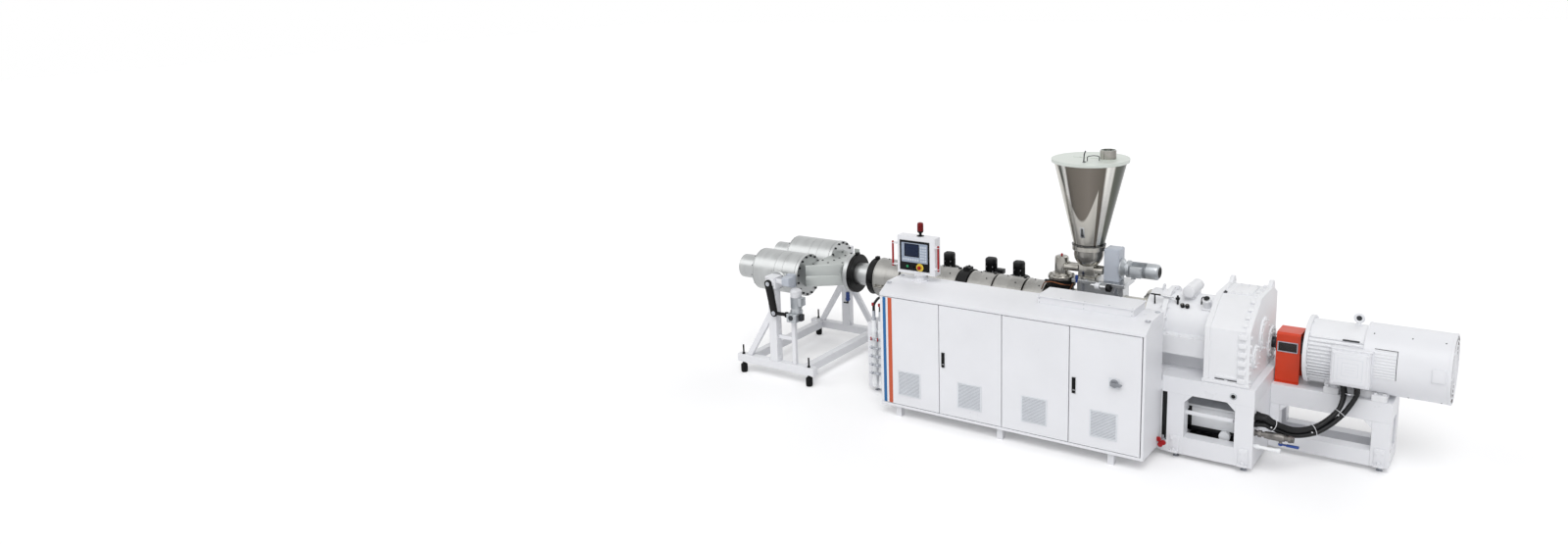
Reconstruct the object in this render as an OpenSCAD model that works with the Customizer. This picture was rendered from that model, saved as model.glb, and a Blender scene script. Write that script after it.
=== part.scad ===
// Plastic extruder: twin-screw barrel on a welded base, geared drive, hopper feeder,
// control cabinet and a double pipe die on its own stand.
// Lengths in millimetres. +X runs to the drive motor, the cabinet doors face -Y, +Z is up.
// The origin is the middle of the footprint at floor level.

/* [Barrel line] */
// Height of the barrel axis above the floor
axis_z = 1000; // [950:5:1100]
// Radius of the barrel
barrel_r = 150; // [130:1:170]
// Length of the barrel in front of the cabinet's left end
barrel_nose = 540; // [500:10:600]
// Radius of the heater bands
band_r = 188; // [175:1:210]
// Length of one heater band in front of the clamp collar
band_len = 283; // [200:1:288]
// Radius of the clamp collar in the middle of the barrel
clamp_r = 200; // [192:1:215]
// Width of the clamp collar along the barrel
clamp_len = 100; // [80:5:130]
// Radius of the flange that joins the barrel to the gear housing
barrel_flange_r = 235; // [210:5:250]
// Thickness of that flange
barrel_flange_t = 40; // [25:1:60]

/* [Blowers] */
// Radius of a blower motor
blower_motor_r = 57; // [40:1:65]
// Height of a blower motor
blower_motor_h = 150; // [120:5:200]
// Radius of a blower's fan housing
blower_fan_r = 105; // [80:1:120]
// Height of a blower's fan housing
blower_fan_h = 120; // [80:5:140]
// Distance of the blowers behind the barrel axis
blower_y = 310; // [300:5:340]

/* [Cabinet] */
// Gap between the barrel base and the cabinet's back
cab_gap = 17; // [12:1:30]
// Depth of the cabinet, front to back
cab_depth = 420; // [380:5:460]
// Height of the cabinet's underside above the floor
cab_z0 = 104; // [80:2:140]
// Thickness of the floor panel
cab_floor_t = 24; // [16:1:40]
// Thickness of the end, back and middle panels
cab_wall = 20; // [12:1:30]
// Height of the flat fascia above the doors
fascia_h = 26; // [20:1:50]
// Rise of the sloped front edge of the roof
roof_rise = 74; // [50:2:100]
// Depth of the sloped front edge of the roof
roof_slope = 144; // [100:2:180]
// Half width of the cabinet's square feet
cab_foot_r = 26; // [18:1:40]

/* [Doors] */
// Width of one door
door_w = 584; // [560:1:600]
// Height of one door
door_h = 988; // [900:2:1040]
// Thickness of one door
door_t = 20; // [16:1:28]
// Gap between two doors and around them
door_gap = 8; // [6:0.5:10]
// Gap above and below the doors
door_gap_z = 6; // [5:0.5:8]
// Distance of the hinge pin from the door's edge
hinge_in = 12; // [10:0.5:16]
// Distance of the hinge pin behind the door's face
hinge_deep = 6.5; // [6:0.5:8]
// Radius of the hinge pins
hinge_r = 4; // [3:0.5:5]
// Length of a hinge pin inside the door
hinge_len = 30; // [20:1:50]
// Height of the latch plates
latch_h = 128; // [90:2:160]
// Height of the latch plates above the door's lower edge
latch_low = 435; // [380:5:500]
// Distance of the latch plates from the door's edge
latch_in = 32; // [20:1:60]
// Width of the latch plates
latch_w = 30; // [20:1:40]
// Thickness of the latch plates
latch_t = 6; // [3:0.5:10]

/* [Main switch] */
// Height of the switch axis above the floor
switch_z = 710; // [600:5:800]
// Distance of the switch axis from the hinge edge of its door
switch_in = 214; // [150:2:300]
// Radius of the switch base
switch_r = 34; // [25:1:45]
// Length of the switch lever from its axis
switch_lever = 70; // [50:1:90]

/* [Roof box] */
// Length of the roof box
rbox_l = 800; // [700:10:900]
// Height of the roof box under its lid
rbox_h = 60; // [40:2:90]
// Thickness of its lid
rbox_lid_t = 10; // [6:1:16]
// Overhang of its lid
rbox_over = 10; // [4:1:20]
// Distance of the roof box from the cabinet's right end
rbox_right = 150; // [120:5:200]

/* [Operator panel] */
// Width of the operator panel
hmi_w = 380; // [340:2:420]
// Height of the operator panel
hmi_h = 344; // [320:2:400]
// Depth of the operator panel
hmi_d = 100; // [90:2:140]
// Distance of the panel's swivel axis from the cabinet's left end
hmi_x = 258; // [230:2:300]
// Distance of the panel's middle to the right of its swivel axis
hmi_off = -20; // [-40:2:40]
// Height of the swivel pedestal
ped_h = 64; // [50:2:110]
// Radius of the swivel pedestal
ped_r = 45; // [35:1:60]
// Radius of the swivel pin
swivel_r = 15; // [10:1:20]
// Length of the swivel pin inside the panel
swivel_len = 50; // [30:1:70]
// Radius of the signal lamp
lamp_r = 28; // [18:1:34]
// Height of the signal lamp with its stem
lamp_h = 125; // [100:5:160]
// Radius of the handle bars
handle_r = 9; // [7:0.5:12]
// Length of the handle bars
handle_len = 235; // [200:5:300]
// Distance of the handle bars from the panel's sides
handle_out = 40; // [20:1:70]
// Distance of the handles in front of the panel's middle
handle_fore = 62; // [0:2:80]

/* [Hopper and feeder] */
// Distance of the hopper axis in front of the gear frame's left end
hop_x = 823; // [810:1:838]
// Radius of the hopper at its top
hop_r = 305; // [270:5:340]
// Radius of the hopper at its outlet
hop_neck_r = 128; // [110:2:140]
// Height of the hopper cone
hop_h = 735; // [600:5:850]
// Wall of the hopper cone
hop_wall = 5; // [3:0.5:8]
// Height of the hopper outlet above the barrel axis
hop_rise = 570; // [540:5:620]
// Radius of the hopper lid
lid_r = 327; // [310:1:360]
// Thickness of the hopper lid
lid_t = 28; // [20:1:40]
// Inside radius of the inlet port on the lid
port_r = 58; // [40:1:70]
// Wall of the inlet port
port_wall = 8; // [5:0.5:12]
// Height of the inlet port
port_h = 82; // [60:2:120]
// Distance of the inlet port from the hopper axis
port_off = 155; // [140:5:170]
// Radius of the bowl's clamp ring
bowl_ring_r = 142; // [141:1:160]
// Height of the bowl's clamp ring
bowl_ring_h = 40; // [30:1:60]
// Height of the feed screw axis above the barrel axis
screw_rise = 355; // [345:1:380]
// Radius of the feed screw tube
screw_r = 40; // [30:1:50]
// Distance of the feed throat in front of the gear frame's left end
throat_x = 1068; // [1053:1:1078]
// Radius of the feed throat
throat_r = 60; // [50:1:70]
// Radius of the throat flange
throat_flange_r = 117; // [112:1:125]
// Thickness of the throat flange
throat_flange_t = 30; // [20:1:40]
// Radius of the feed port
fport_r = 108; // [90:1:115]
// Height of the feed port's top above the barrel axis
fport_rise = 240; // [225:1:260]
// Length of the feeder gear box
fbox_l = 134; // [110:2:150]
// Width of the feeder gear box
fbox_w = 140; // [130:2:170]
// Height of the feeder gear box
fbox_h = 285; // [260:5:360]
// Radius of the feeder motor
fmotor_r = 68; // [55:1:75]
// Length of the feeder motor
fmotor_l = 325; // [300:5:380]
// Thickness of the feeder base plate
fplate_t = 30; // [20:1:40]
// Height of the feeder base plate's underside above the barrel axis
fplate_rise = 250; // [240:1:262]

/* [Gear drive] */
// How far the gear housing reaches in front of the gear frame
gh_lead = 248; // [220:2:280]
// Half width of the gear housing's body
gh_w = 350; // [320:5:380]
// Height of the gear housing's foot
gh_foot_h = 140; // [110:2:160]
// Height of the gear housing's body
gh_body_h = 150; // [120:2:165]
// Radius of the gear housing's round top
gh_r = 255; // [240:1:280]
// Distance of the gear box from the gear frame's left end
gb_in = 306; // [290:2:330]
// Length of the gear box
gb_l = 346; // [340:2:380]
// Front of the gear box, from the barrel axis
gb_front = 462; // [460:2:495]
// Back of the gear box, from the barrel axis
gb_back = 350; // [346:2:550]
// Height of the gear box
gb_h = 640; // [580:5:680]
// Height of its upright front face
gb_face_h = 450; // [400:5:500]
// Front of its flat top, from the barrel axis
gb_top_front = 170; // [150:5:220]
// Back of its flat top, from the barrel axis
gb_top_back = 220; // [200:5:360]
// Drop of its back edge
gb_drop = 70; // [60:5:120]
// Width of the end plates along the machine
gb_plate_t = 42; // [30:1:60]
// How far the end plates stand out
gb_plate_out = 12; // [6:1:20]
// Radius of the bearing cover on the input shaft
cover_r = 130; // [110:2:150]
// Thickness of the bearing cover
cover_t = 14; // [8:1:16]

/* [Motor] */
// Distance of the motor axis behind the barrel axis
motor_y = 215; // [205:1:230]
// Height of the motor axis above its feet
motor_c = 290; // [280:1:305]
// Radius of the motor body
motor_r = 250; // [235:1:262]
// Length of the motor body with its end shield
motor_l = 430; // [400:5:460]
// Radius of the motor's end flange
mflange_r = 270; // [258:1:276]
// Radius of the fan cover
fan_r = 272; // [262:1:278]
// Length of the fan cover
fan_l = 590; // [500:5:640]
// Radius of the drive shaft
shaft_r = 45; // [35:1:50]
// Radius of the coupling
coup_r = 92; // [80:1:96]
// Length of the coupling
coup_l = 120; // [90:2:130]
// Width of the terminal box
tbox_w = 278; // [240:2:300]
// Height of the terminal box
tbox_h = 285; // [240:2:300]
// How far the terminal box stands out from the motor axis
tbox_out = 305; // [295:1:330]

/* [Coupling guard] */
// Half width of the coupling guard
guard_w = 107; // [106:1:125]
// Height of the coupling guard above the drive axis
guard_h = 127; // [115:1:150]
// Length of the coupling guard
guard_l = 182; // [170:1:190]
// Sheet thickness of the coupling guard
guard_t = 4; // [3:0.5:6]
// Chamfer of the guard's upper edges
guard_c = 14; // [8:1:30]

/* [Base frame] */
// Height of the frame's top above the floor
frame_z = 690; // [660:5:710]
// Height of the frame's underside above the floor
frame_z0 = 44; // [30:1:60]
// Half width of the barrel base
base_w = 490; // [460:5:520]
// Width of the barrel base's beams
beam_w = 120; // [90:5:140]
// Height of the barrel base's beams
beam_h = 120; // [90:5:140]
// Length of the barrel base in front of the cabinet's left end
base_nose = 405; // [380:5:430]
// Left end of the gear frame from the cabinet's left end
gf_x = 2398; // [2394:1:2410]
// Distance of the left posts from that end
gf_inset = 42; // [30:1:60]
// Length of the gear frame
gf_l = 708; // [700:1:720]
// Front of the gear frame from the barrel axis
gf_front = 500; // [495:1:510]
// Back of the gear frame from the barrel axis
gf_back = 575; // [560:5:600]
// Width of the gear frame's left posts
gf_left = 135; // [110:5:150]
// Width of the gear frame's right posts
gf_right = 141; // [110:1:160]
// Height of the gear frame's deck
gf_deck = 134; // [110:2:150]
// Height of the gear frame's lower rails
gf_rail = 150; // [120:2:180]
// Height of the gear frame's toes beside its left posts
gf_toe = 90; // [60:2:140]
// Depth of the gear frame's posts
gf_post = 110; // [90:5:140]
// Chamfer in the upper corners of the frame openings
gusset = 62; // [40:2:80]
// Thickness of the gussets
gusset_t = 20; // [10:1:30]
// Length of the motor base
mb_l = 880; // [860:5:900]
// Front of the motor base, behind the barrel axis
mb_front = 25; // [15:1:35]
// Height of the motor base's deck
mb_deck = 165; // [140:5:190]
// Width of the motor base's left posts
mb_left = 74; // [60:2:100]
// Width of the motor base's right posts
mb_right = 134; // [110:2:150]
// Height of the motor base's lower rails
mb_rail = 126; // [100:2:150]
// Height of the oil tank in the gear frame
tank_h = 220; // [150:5:300]
// Radius of the levelling feet
foot_r = 30; // [20:1:45]
// Radius of the lifting socket in the gear frame
socket_r = 20; // [15:1:30]
// Depth of the lifting socket
socket_d = 90; // [60:5:100]

/* [Die head] */
// Height of the die axes above the barrel axis
die_rise = 4; // [0:1:25]
// Distance of a die axis from the barrel axis
die_y = 300; // [290:2:330]
// Radius of the die bodies
die_r = 210; // [190:2:220]
// Length of the die bodies
die_l = 548; // [480:2:580]
// Radius of the end flanges
die_flange_r = 214; // [212:1:216]
// Thickness of the end flanges
die_flange_t = 36; // [24:1:50]
// Radius of the nozzles
noz_r = 122; // [110:1:140]
// Length of the nozzles
noz_l = 220; // [200:2:300]
// Radius of the opening in the nozzles
noz_bore = 80; // [50:1:100]
// Depth of the opening in the nozzles
noz_depth = 160; // [100:5:190]
// Height of the melt manifold
man_h = 220; // [180:5:240]
// Half width of the melt manifold at the dies
man_w = 360; // [340:5:390]
// Half width of the melt manifold at its inlet
man_in = 115; // [100:5:150]
// Length of the melt manifold
man_l = 327; // [300:1:350]
// Radius of the adaptor flange
ad_flange_r = 195; // [180:1:205]
// Thickness of the adaptor flange
ad_flange_t = 46; // [30:1:60]
// Radius of the large adaptor heater
ad_ring_r = 190; // [180:1:205]
// Length of the large adaptor heater
ad_ring_l = 38; // [28:1:60]
// Radius of the adaptor neck
neck_r = 112; // [95:1:125]
// Length of the adaptor neck
neck_l = 180; // [150:1:210]
// Radius of the small adaptor heater
ad_ring2_r = 178; // [165:1:190]
// Length of the small adaptor heater
ad_ring2_l = 70; // [50:2:90]

/* [Die stand] */
// Half width of the stand across the machine, to the feet
st_w = 681; // [660:1:710]
// Length of the stand between its feet
st_l = 805; // [780:5:840]
// Middle of the stand, in front of the cabinet's left end
st_x = 1375; // [1360:5:1390]
// Size of the stand's square tubes
tube_s = 80; // [70:1:90]
// Height of the tubes' underside above the floor
tube_z = 110; // [100:5:150]
// Width of the posts
post_w = 90; // [80:1:100]
// Radius of the stand's feet
sfoot_r = 36; // [30:1:44]
// Height of the stand's feet
sfoot_h = 95; // [85:1:98]
// Radius of the stand's foot spindles
spin_r = 9; // [6:0.5:12]
// Length of the spindles above the tubes
spin_up = 100; // [60:5:130]
// Size of the bearing heads on the posts
head_s = 120; // [100:2:140]
// Radius of the trunnions between heads and dies
trun_r = 60; // [45:1:75]
// Size of the thin post beside the front post
thin_s = 42; // [36:1:50]
// Height of the thin post's top above the floor
thin_z = 640; // [600:5:680]
// Size of the bar between the front post and the thin post
bar_s = 36; // [24:1:40]
// Height of that bar above the floor
bar_z = 430; // [380:5:480]
// Radius of the stand's gear motor
gmotor_r = 56; // [50:1:66]
// Thickness of the drive arm
arm_t = 30; // [24:1:36]
// Half width of the drive arm
arm_r = 36; // [28:1:44]

/* [Water] */
// Radius of the water valve's body
valve_r = 24; // [20:1:30]
// Length of the water valve
valve_l = 285; // [240:5:300]
// Height of the water valve above the floor
valve_z = 330; // [320:5:340]
// Bore of the water valve
valve_bore = 14; // [10:0.5:17]
// Length of the valve lever
lever_l = 130; // [110:5:160]
// Radius of the valve stem
stem_r = 7; // [5:0.5:9]
// Radius of the water manifold pipes
wpipe_r = 22; // [16:1:28]

/* [Fits] */
// Radial clearance of pins and shafts that turn
run_clear = 0.05; // [0.02:0.01:0.1]
// Gap between curved faces that only lie near each other
seat = 0.3; // [0.2:0.05:0.5]
// Gap between the welded beams of a frame
weld = 0.2; // [0.1:0.05:0.4]

/* [Hidden] */
$fn = 96;

// places along the machine
gh_x = gf_x - gh_lead;
gb_x = gf_x + gb_in;
gf_x1 = gf_x + gf_l;
hop_at = gf_x - hop_x;
throat_at = gf_x - throat_x;

// cabinet, measured from its left front corner and the barrel axis
door_x0 = door_gap / 2;
door_pitch = door_w + door_gap;
cab_l = door_x0 + 4 * door_pitch + cab_wall;
cab_back = -base_w - cab_gap;
cab_front = cab_back - cab_depth;
door_z0 = cab_z0 + cab_floor_t + door_gap_z;
door_z1 = door_z0 + door_h;
fascia_z = door_z1 + door_gap_z;
roof_z = fascia_z + fascia_h + roof_rise;
hinge_y = cab_front + hinge_deep;
wall_y = cab_front + door_t + 14;
// hinge pin positions, doors 1 and 3 hang left, doors 2 and 4 hang right
function door_left(i) = door_x0 + (i - 1) * door_pitch;
function hinge_x(i) = (i % 2 == 1) ? door_left(i) + hinge_in : door_left(i) + door_w - hinge_in;
cab_feet_x = [160, 1151, 2121];
cab_foot_in = 62;

// operator panel
hmi_y = cab_back - hmi_d / 2 - 70;
hmi_side = [hmi_x + hmi_off - hmi_w / 2, hmi_x + hmi_off + hmi_w / 2];
hmi_z0 = roof_z + ped_h + seat;

// main switch on door 4
switch_x = door_left(4) + door_w - switch_in;
switch_t = 16;
switch_knob = 26;

// barrel line
base_x0 = -base_nose;
barrel_x0 = -barrel_nose;
barrel_x1 = gh_x;
band_gap = 15;
band_end = 12;
clamp_x = 413;
zone_x0 = clamp_x + clamp_len / 2 + 10;
zone_x1 = throat_at - fport_r - band_end;
band2_len = [for (p = [0.34, 0.396, 0.264]) p * (zone_x1 - zone_x0 - 2 * band_gap)];
band_x = [for (i = [0:2]) barrel_x0 + band_end + i * (band_len + band_gap)];
band_x2 = [zone_x0, zone_x0 + band2_len[0] + band_gap, zone_x1 - band2_len[2]];
blower_x = [-320, 56, 501, 785];
fan_z0 = axis_z - 20;

// hopper and feeder
neck_z = axis_z + hop_rise;
hop_top = neck_z + hop_h;
screw_z = axis_z + screw_rise;
fplate_z = axis_z + fplate_rise;
fplate_top = fplate_z + fplate_t;
fport_top = axis_z + fport_rise;
bowl_low_r = 72;
bowl_low_z = fplate_top + 110;
fbox_x = hop_at + 160;
throat_top = screw_z + 85;
fplate_x0 = throat_at + throat_flange_r + 25;
fplate_x1 = fbox_x + fbox_l + 71;
fplate_w = 130;

// gear drive
gh_x1 = gb_x;
gh_z1 = frame_z + gh_foot_h;
gh_z2 = gh_z1 + gh_body_h;
gb_x1 = gb_x + gb_l;
gb_z1 = frame_z + gb_h;
drive_z = mb_top_z() + motor_c;
function mb_top_z() = frame_z - 110;
bore_depth = 70;
coup_x0 = gf_x1 + 36;
motor_x0 = coup_x0 + coup_l + 77;
motor_x1 = motor_x0 + motor_l;
fan_x1 = motor_x1 + fan_l;
guard_x0 = gf_x1 + 8;
tbox_x0 = motor_x0 + 215;
tbox_z0 = drive_z - 168;
tbox_y0 = motor_y - tbox_out;
foot_x = [motor_x0 + 155, motor_x1 + 65];

// frames
mb_x1 = gf_x1 + mb_l;
mb_top = mb_top_z();
mb_back = 2 * motor_y - mb_front;
base_x1 = gf_x - weld;
gf_deck_z = frame_z - gf_deck;
mb_deck_z = mb_top - mb_deck;
base_posts = [base_x0, 560, 1480, base_x1 - beam_w];
base_ties = concat(base_posts, [clamp_x - beam_w / 2]);

// die head
die_z = axis_z + die_rise;
ring2_x = barrel_x0 - ad_ring2_l;
neck_x = ring2_x - neck_l;
ring_x = neck_x - ad_ring_l;
adf_x = ring_x - ad_flange_t;
man_x = adf_x - man_l;
die_x1 = man_x;
die_x0 = die_x1 - die_flange_t - die_l;
noz_x0 = die_x0 - noz_l;

// die stand
st_x0 = -st_x - st_l / 2;
st_x1 = -st_x + st_l / 2;
tube_top = tube_z + tube_s;
post_top = die_z - head_s / 2;
thin_x = -st_x + 230;
st_tube = st_w - 20;

// water supply
stem_x = gf_x1 + valve_l - 95;
lever_z = valve_z - valve_r - 38;
wpipe_x = [base_x0 + 95, base_x0 + 165];

// overall box, the origin is the middle of its floor
over_x0 = noz_x0;
over_x1 = fan_x1;
over_y0 = cab_front - switch_t - switch_knob;
over_y1 = st_w + sfoot_r;
mid_x = (over_x0 + over_x1) / 2;
mid_y = (over_y0 + over_y1) / 2;

// cable bundle between terminal box and gear frame, x from the gear frame's right end
cable_d = 36;
cable_sides = 8;
cable_steps = 6;
cable_mid = [
    [586, -20, 677],
    [586, -20, 600],
    [542, -80, 490],
    [460, -160, 400],
    [368, -240, 350],
    [248, -330, 345],
    [124, -418, 408],
    [80, -440, 440],
    [30, -440, 440]
];
cable_side = [
    [1, 0, 0],
    [1, 0, 0],
    [0.8, 0, -0.6],
    [0.7, 0, -0.7],
    [0.5, 0, -0.85],
    [0, 0, -1],
    [-0.3, 0, -0.95],
    [0, 0, -1],
    [0, 0, -1]
];
cable_wide = [2.6, 2.2, 1.2, 1, 1, 1, 1, 1.3, 1.5];
cable_across = [1.5, 1.5, 1.2, 1, 1, 1, 1, 1.3, 1.5];
cable_set = [[-19, -19], [19, -19], [-19, 19], [19, 19]];
gland_r = 24;
gland_l = 30;

function cable_points(c) = [for (i = [0:len(cable_mid) - 1])
    [gf_x1, 0, 0] + cable_mid[i] + c[0] * cable_wide[i] * cable_side[i] + [0, c[1] * cable_across[i], 0]];
function unit(v) = v / norm(v);
function before(p, i) = i > 0 ? p[i - 1] : 2 * p[0] - p[1];
function after(p, i) = i < len(p) - 2 ? p[i + 2] : 2 * p[len(p) - 1] - p[len(p) - 2];
function spline(p, i, t) = 0.5 * (2 * p[i] + (p[i + 1] - before(p, i)) * t
    + (2 * before(p, i) - 5 * p[i] + 4 * p[i + 1] - after(p, i)) * t * t
    + (3 * p[i] - before(p, i) - 3 * p[i + 1] + after(p, i)) * t * t * t);
function route(p) = concat([for (i = [0:len(p) - 2]) for (k = [0:cable_steps - 1])
    spline(p, i, k / cable_steps)], [p[len(p) - 1]]);
function heading(r, i) = i == 0 ? unit(r[1] - r[0])
    : i == len(r) - 1 ? unit(r[i] - r[i - 1]) : unit(r[i + 1] - r[i - 1]);
function ring_points(r, i) = let (t = heading(r, i), a = unit(cross(t, [0, 1, 0])), b = cross(a, t))
    [for (k = [0:cable_sides - 1])
        r[i] + cable_d / 2 * (cos(k * 360 / cable_sides) * a + sin(k * 360 / cable_sides) * b)];

module cable(c) {
    r = route(cable_points(c));
    n = len(r);
    s = cable_sides;
    pts = [for (i = [0:n - 1]) each ring_points(r, i)];
    walls = [for (i = [0:n - 2]) for (k = [0:s - 1])
        [i * s + k, i * s + (k + 1) % s, (i + 1) * s + (k + 1) % s, (i + 1) * s + k]];
    caps = [[for (k = [0:s - 1]) s - 1 - k], [for (k = [0:s - 1]) (n - 1) * s + k]];
    polyhedron(pts, concat(walls, caps));
}

// basic shapes by their limits
module block(x, y, z) {
    translate([x[0], y[0], z[0]])
        cube([x[1] - x[0], y[1] - y[0], z[1] - z[0]]);
}

module rod_x(x, y, z, r) {
    translate([x[0], y, z])
        rotate([0, 90, 0])
            cylinder(h = x[1] - x[0], r = r);
}

module rod_y(x, y, z, r) {
    translate([x, y[1], z])
        rotate([90, 0, 0])
            cylinder(h = y[1] - y[0], r = r);
}

module rod_z(x, y, z, r) {
    translate([x, y, z[0]])
        cylinder(h = z[1] - z[0], r = r);
}

module prism_x(x, points) {
    translate([x[0], 0, 0])
        rotate([90, 0, 90])
            linear_extrude(height = x[1] - x[0])
                polygon(points);
}

module prism_y(y, points) {
    translate([0, y[1], 0])
        rotate([90, 0, 0])
            linear_extrude(height = y[1] - y[0])
                polygon(points);
}

module prism_z(z, points) {
    translate([0, 0, z[0]])
        linear_extrude(height = z[1] - z[0])
            polygon(points);
}

// welded frames
module base_frame() {
    inner = base_w - beam_w - weld;
    color("#e6e7eb") {
        for (s = [-1, 1]) {
            y0 = s < 0 ? -base_w : base_w - beam_w;
            block([base_x0, base_x1], [y0, y0 + beam_w], [frame_z - beam_h, frame_z]);
            for (x = base_posts)
                block([x, x + beam_w], [y0, y0 + beam_w],
                    [frame_z0, frame_z - beam_h - weld]);
            for (i = [0:len(base_posts) - 2])
                block([base_posts[i] + beam_w + weld, base_posts[i + 1] - weld],
                    [y0, y0 + beam_w], [frame_z0, frame_z0 + beam_h]);
        }
        for (x = base_ties)
            block([x, x + beam_w], [-inner, inner], [frame_z - beam_h, frame_z]);
        for (x = base_posts)
            block([x, x + beam_w], [-inner, inner], [frame_z0, frame_z0 + beam_h]);
        for (i = [1:3])
            block([base_posts[i], base_posts[i] + beam_w], [cab_back + weld, -base_w - weld],
                [frame_z - beam_h, frame_z - 40]);
    }
}

module corner(x, y, z, side) {
    prism_y([y, y + gusset_t], [[x, z], [x + side * gusset, z], [x, z - gusset]]);
}

module gear_frame() {
    x0 = gf_x + gf_inset;
    x1 = x0 + gf_left;
    x2 = gf_x1 - gf_right;
    inner = [-gf_front + gf_post + weld, gf_back - gf_post - weld];
    color("#e6e7eb") {
        difference() {
            block([gf_x, gf_x1], [-gf_front, gf_back], [gf_deck_z, frame_z]);
            rod_y(gf_x1 - 161, [-gf_front - 1, -gf_front + socket_d], gf_deck_z + 62, socket_r);
        }
        for (y = [-gf_front, gf_back - gf_post]) {
            block([x0, x1], [y, y + gf_post], [frame_z0, gf_deck_z - weld]);
            block([x2, gf_x1], [y, y + gf_post], [frame_z0, gf_deck_z - weld]);
            block([x1 + weld, x2 - weld], [y, y + gf_post], [frame_z0, frame_z0 + gf_rail]);
            block([gf_x, x0 - weld], [y, y + gf_post], [frame_z0, frame_z0 + gf_toe]);
        }
        for (x = [x0, gf_x1 - beam_w])
            block([x, x + beam_w], inner, [frame_z0, frame_z0 + gf_rail]);
        corner(x1 + weld, -gf_front, gf_deck_z - weld, 1);
        corner(x2 - weld, -gf_front, gf_deck_z - weld, -1);
    }
}

module motor_base() {
    x0 = gf_x1 + weld;
    x1 = gf_x1 + mb_left;
    x2 = mb_x1 - mb_right;
    color("#e6e7eb") {
        block([x0, mb_x1], [mb_front, mb_back], [mb_deck_z, mb_top]);
        for (y = [mb_front, mb_back - gf_post]) {
            block([x0, x1], [y, y + gf_post], [frame_z0, mb_deck_z - weld]);
            block([x2, mb_x1], [y, y + gf_post], [frame_z0, mb_deck_z - weld]);
            block([x1 + weld, x2 - weld], [y, y + gf_post], [frame_z0, frame_z0 + mb_rail]);
        }
        block([x2, mb_x1], [mb_front + gf_post + weld, mb_back - gf_post - weld],
            [frame_z0, frame_z0 + mb_rail]);
        corner(x1 + weld, mb_front, mb_deck_z - weld, 1);
        corner(x2 - weld, mb_front, mb_deck_z - weld, -1);
    }
}

module machine_feet() {
    color("#b9bcc2") {
        for (i = [0:2])
            for (s = [-1, 1])
                rod_z(base_posts[i] + beam_w / 2, s * (base_w - beam_w / 2), [0, frame_z0], foot_r);
        for (x = [gf_x + gf_inset + gf_left / 2, gf_x1 - gf_right / 2])
            for (y = [-gf_front + gf_post / 2, gf_back - gf_post / 2])
                rod_z(x, y, [0, frame_z0], foot_r);
        for (y = [mb_front + gf_post / 2, mb_back - gf_post / 2])
            rod_z(mb_x1 - mb_right / 2, y, [0, frame_z0], foot_r);
    }
}

module oil_tank() {
    z0 = frame_z0 + gf_rail;
    color("#dfe1e5")
        block([gf_x + gf_inset + 60, gf_x1 - 40], [-gf_front + gf_post + 70, gf_back - gf_post - 40],
            [z0, z0 + tank_h]);
}

// barrel line
module barrel() {
    color("#b9b7b2") {
        rod_x([barrel_x0, barrel_x1], 0, axis_z, barrel_r);
        difference() {
            rod_x([barrel_x1 - barrel_flange_t, barrel_x1], 0, axis_z, barrel_flange_r);
            rod_x([barrel_x1 - barrel_flange_t - 1, barrel_x1 + 1], 0, axis_z, barrel_r + seat);
        }
    }
}

module band(x, l) {
    difference() {
        rod_x([x, x + l], 0, axis_z, band_r);
        rod_x([x - 1, x + l + 1], 0, axis_z, barrel_r + seat);
    }
}

module heater_bands() {
    color("#a9a59c") {
        for (x = band_x)
            band(x, band_len);
        for (i = [0:2])
            band(band_x2[i], band2_len[i]);
    }
}

module barrel_clamp() {
    x = [clamp_x - clamp_len / 2, clamp_x + clamp_len / 2];
    color("#24262a")
        difference() {
            union() {
                rod_x(x, 0, axis_z, clamp_r);
                block(x, [-110, 110], [frame_z, axis_z]);
                block([clamp_x - 35, clamp_x + 35], [-40, 40], [axis_z, axis_z + clamp_r + 22]);
            }
            rod_x([x[0] - 1, x[1] + 1], 0, axis_z, barrel_r + seat);
        }
}

module blowers() {
    z = fan_z0 + blower_fan_h;
    color("#1d1f22")
        for (x = blower_x) {
            block([x - 60, x + 60], [blower_y - 60, base_w], [frame_z, frame_z + 20]);
            rod_z(x, blower_y, [frame_z + 20 + weld, fan_z0 - weld], 45);
            rod_z(x, blower_y, [fan_z0, z - weld], blower_fan_r);
            rod_z(x, blower_y, [z, z + blower_motor_h], blower_motor_r);
            if (x == blower_x[2])
                block([x, x + blower_motor_r + 75], [blower_y - 35, blower_y + 35], [z + 5, z + 50]);
            else
                block([x - 35, x + 35], [blower_y, blower_y + blower_motor_r + 50], [z + 30, z + 90]);
        }
}

// feed throat, hopper and feeder
module feed_port() {
    color("#26282b")
        difference() {
            rod_z(throat_at, 0, [axis_z, fport_top], fport_r);
            rod_x([barrel_x0, barrel_x1], 0, axis_z, barrel_r + seat);
        }
}

module feed_throat() {
    z1 = neck_z - bowl_ring_h;
    color("#c8cacd") {
        rod_z(throat_at, 0, [fport_top, fport_top + throat_flange_t], throat_flange_r);
        rod_z(throat_at, 0, [fport_top + throat_flange_t, throat_top], throat_r);
        rod_x([throat_at, fbox_x], 0, screw_z, screw_r);
        rod_z(hop_at, 0, [z1, neck_z], bowl_ring_r);
        translate([hop_at, 0, bowl_low_z])
            cylinder(h = z1 - bowl_low_z, r1 = bowl_low_r, r2 = hop_neck_r);
        block([hop_at - bowl_low_r, hop_at + bowl_low_r], [-62, 62], [fplate_top, bowl_low_z]);
    }
}

module hopper() {
    color("#d3d6da")
        translate([hop_at, 0, neck_z])
            difference() {
                cylinder(h = hop_h, r1 = hop_neck_r, r2 = hop_r);
                translate([0, 0, -0.01])
                    cylinder(h = hop_h + 0.02, r1 = hop_neck_r - hop_wall, r2 = hop_r - hop_wall);
            }
}

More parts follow.
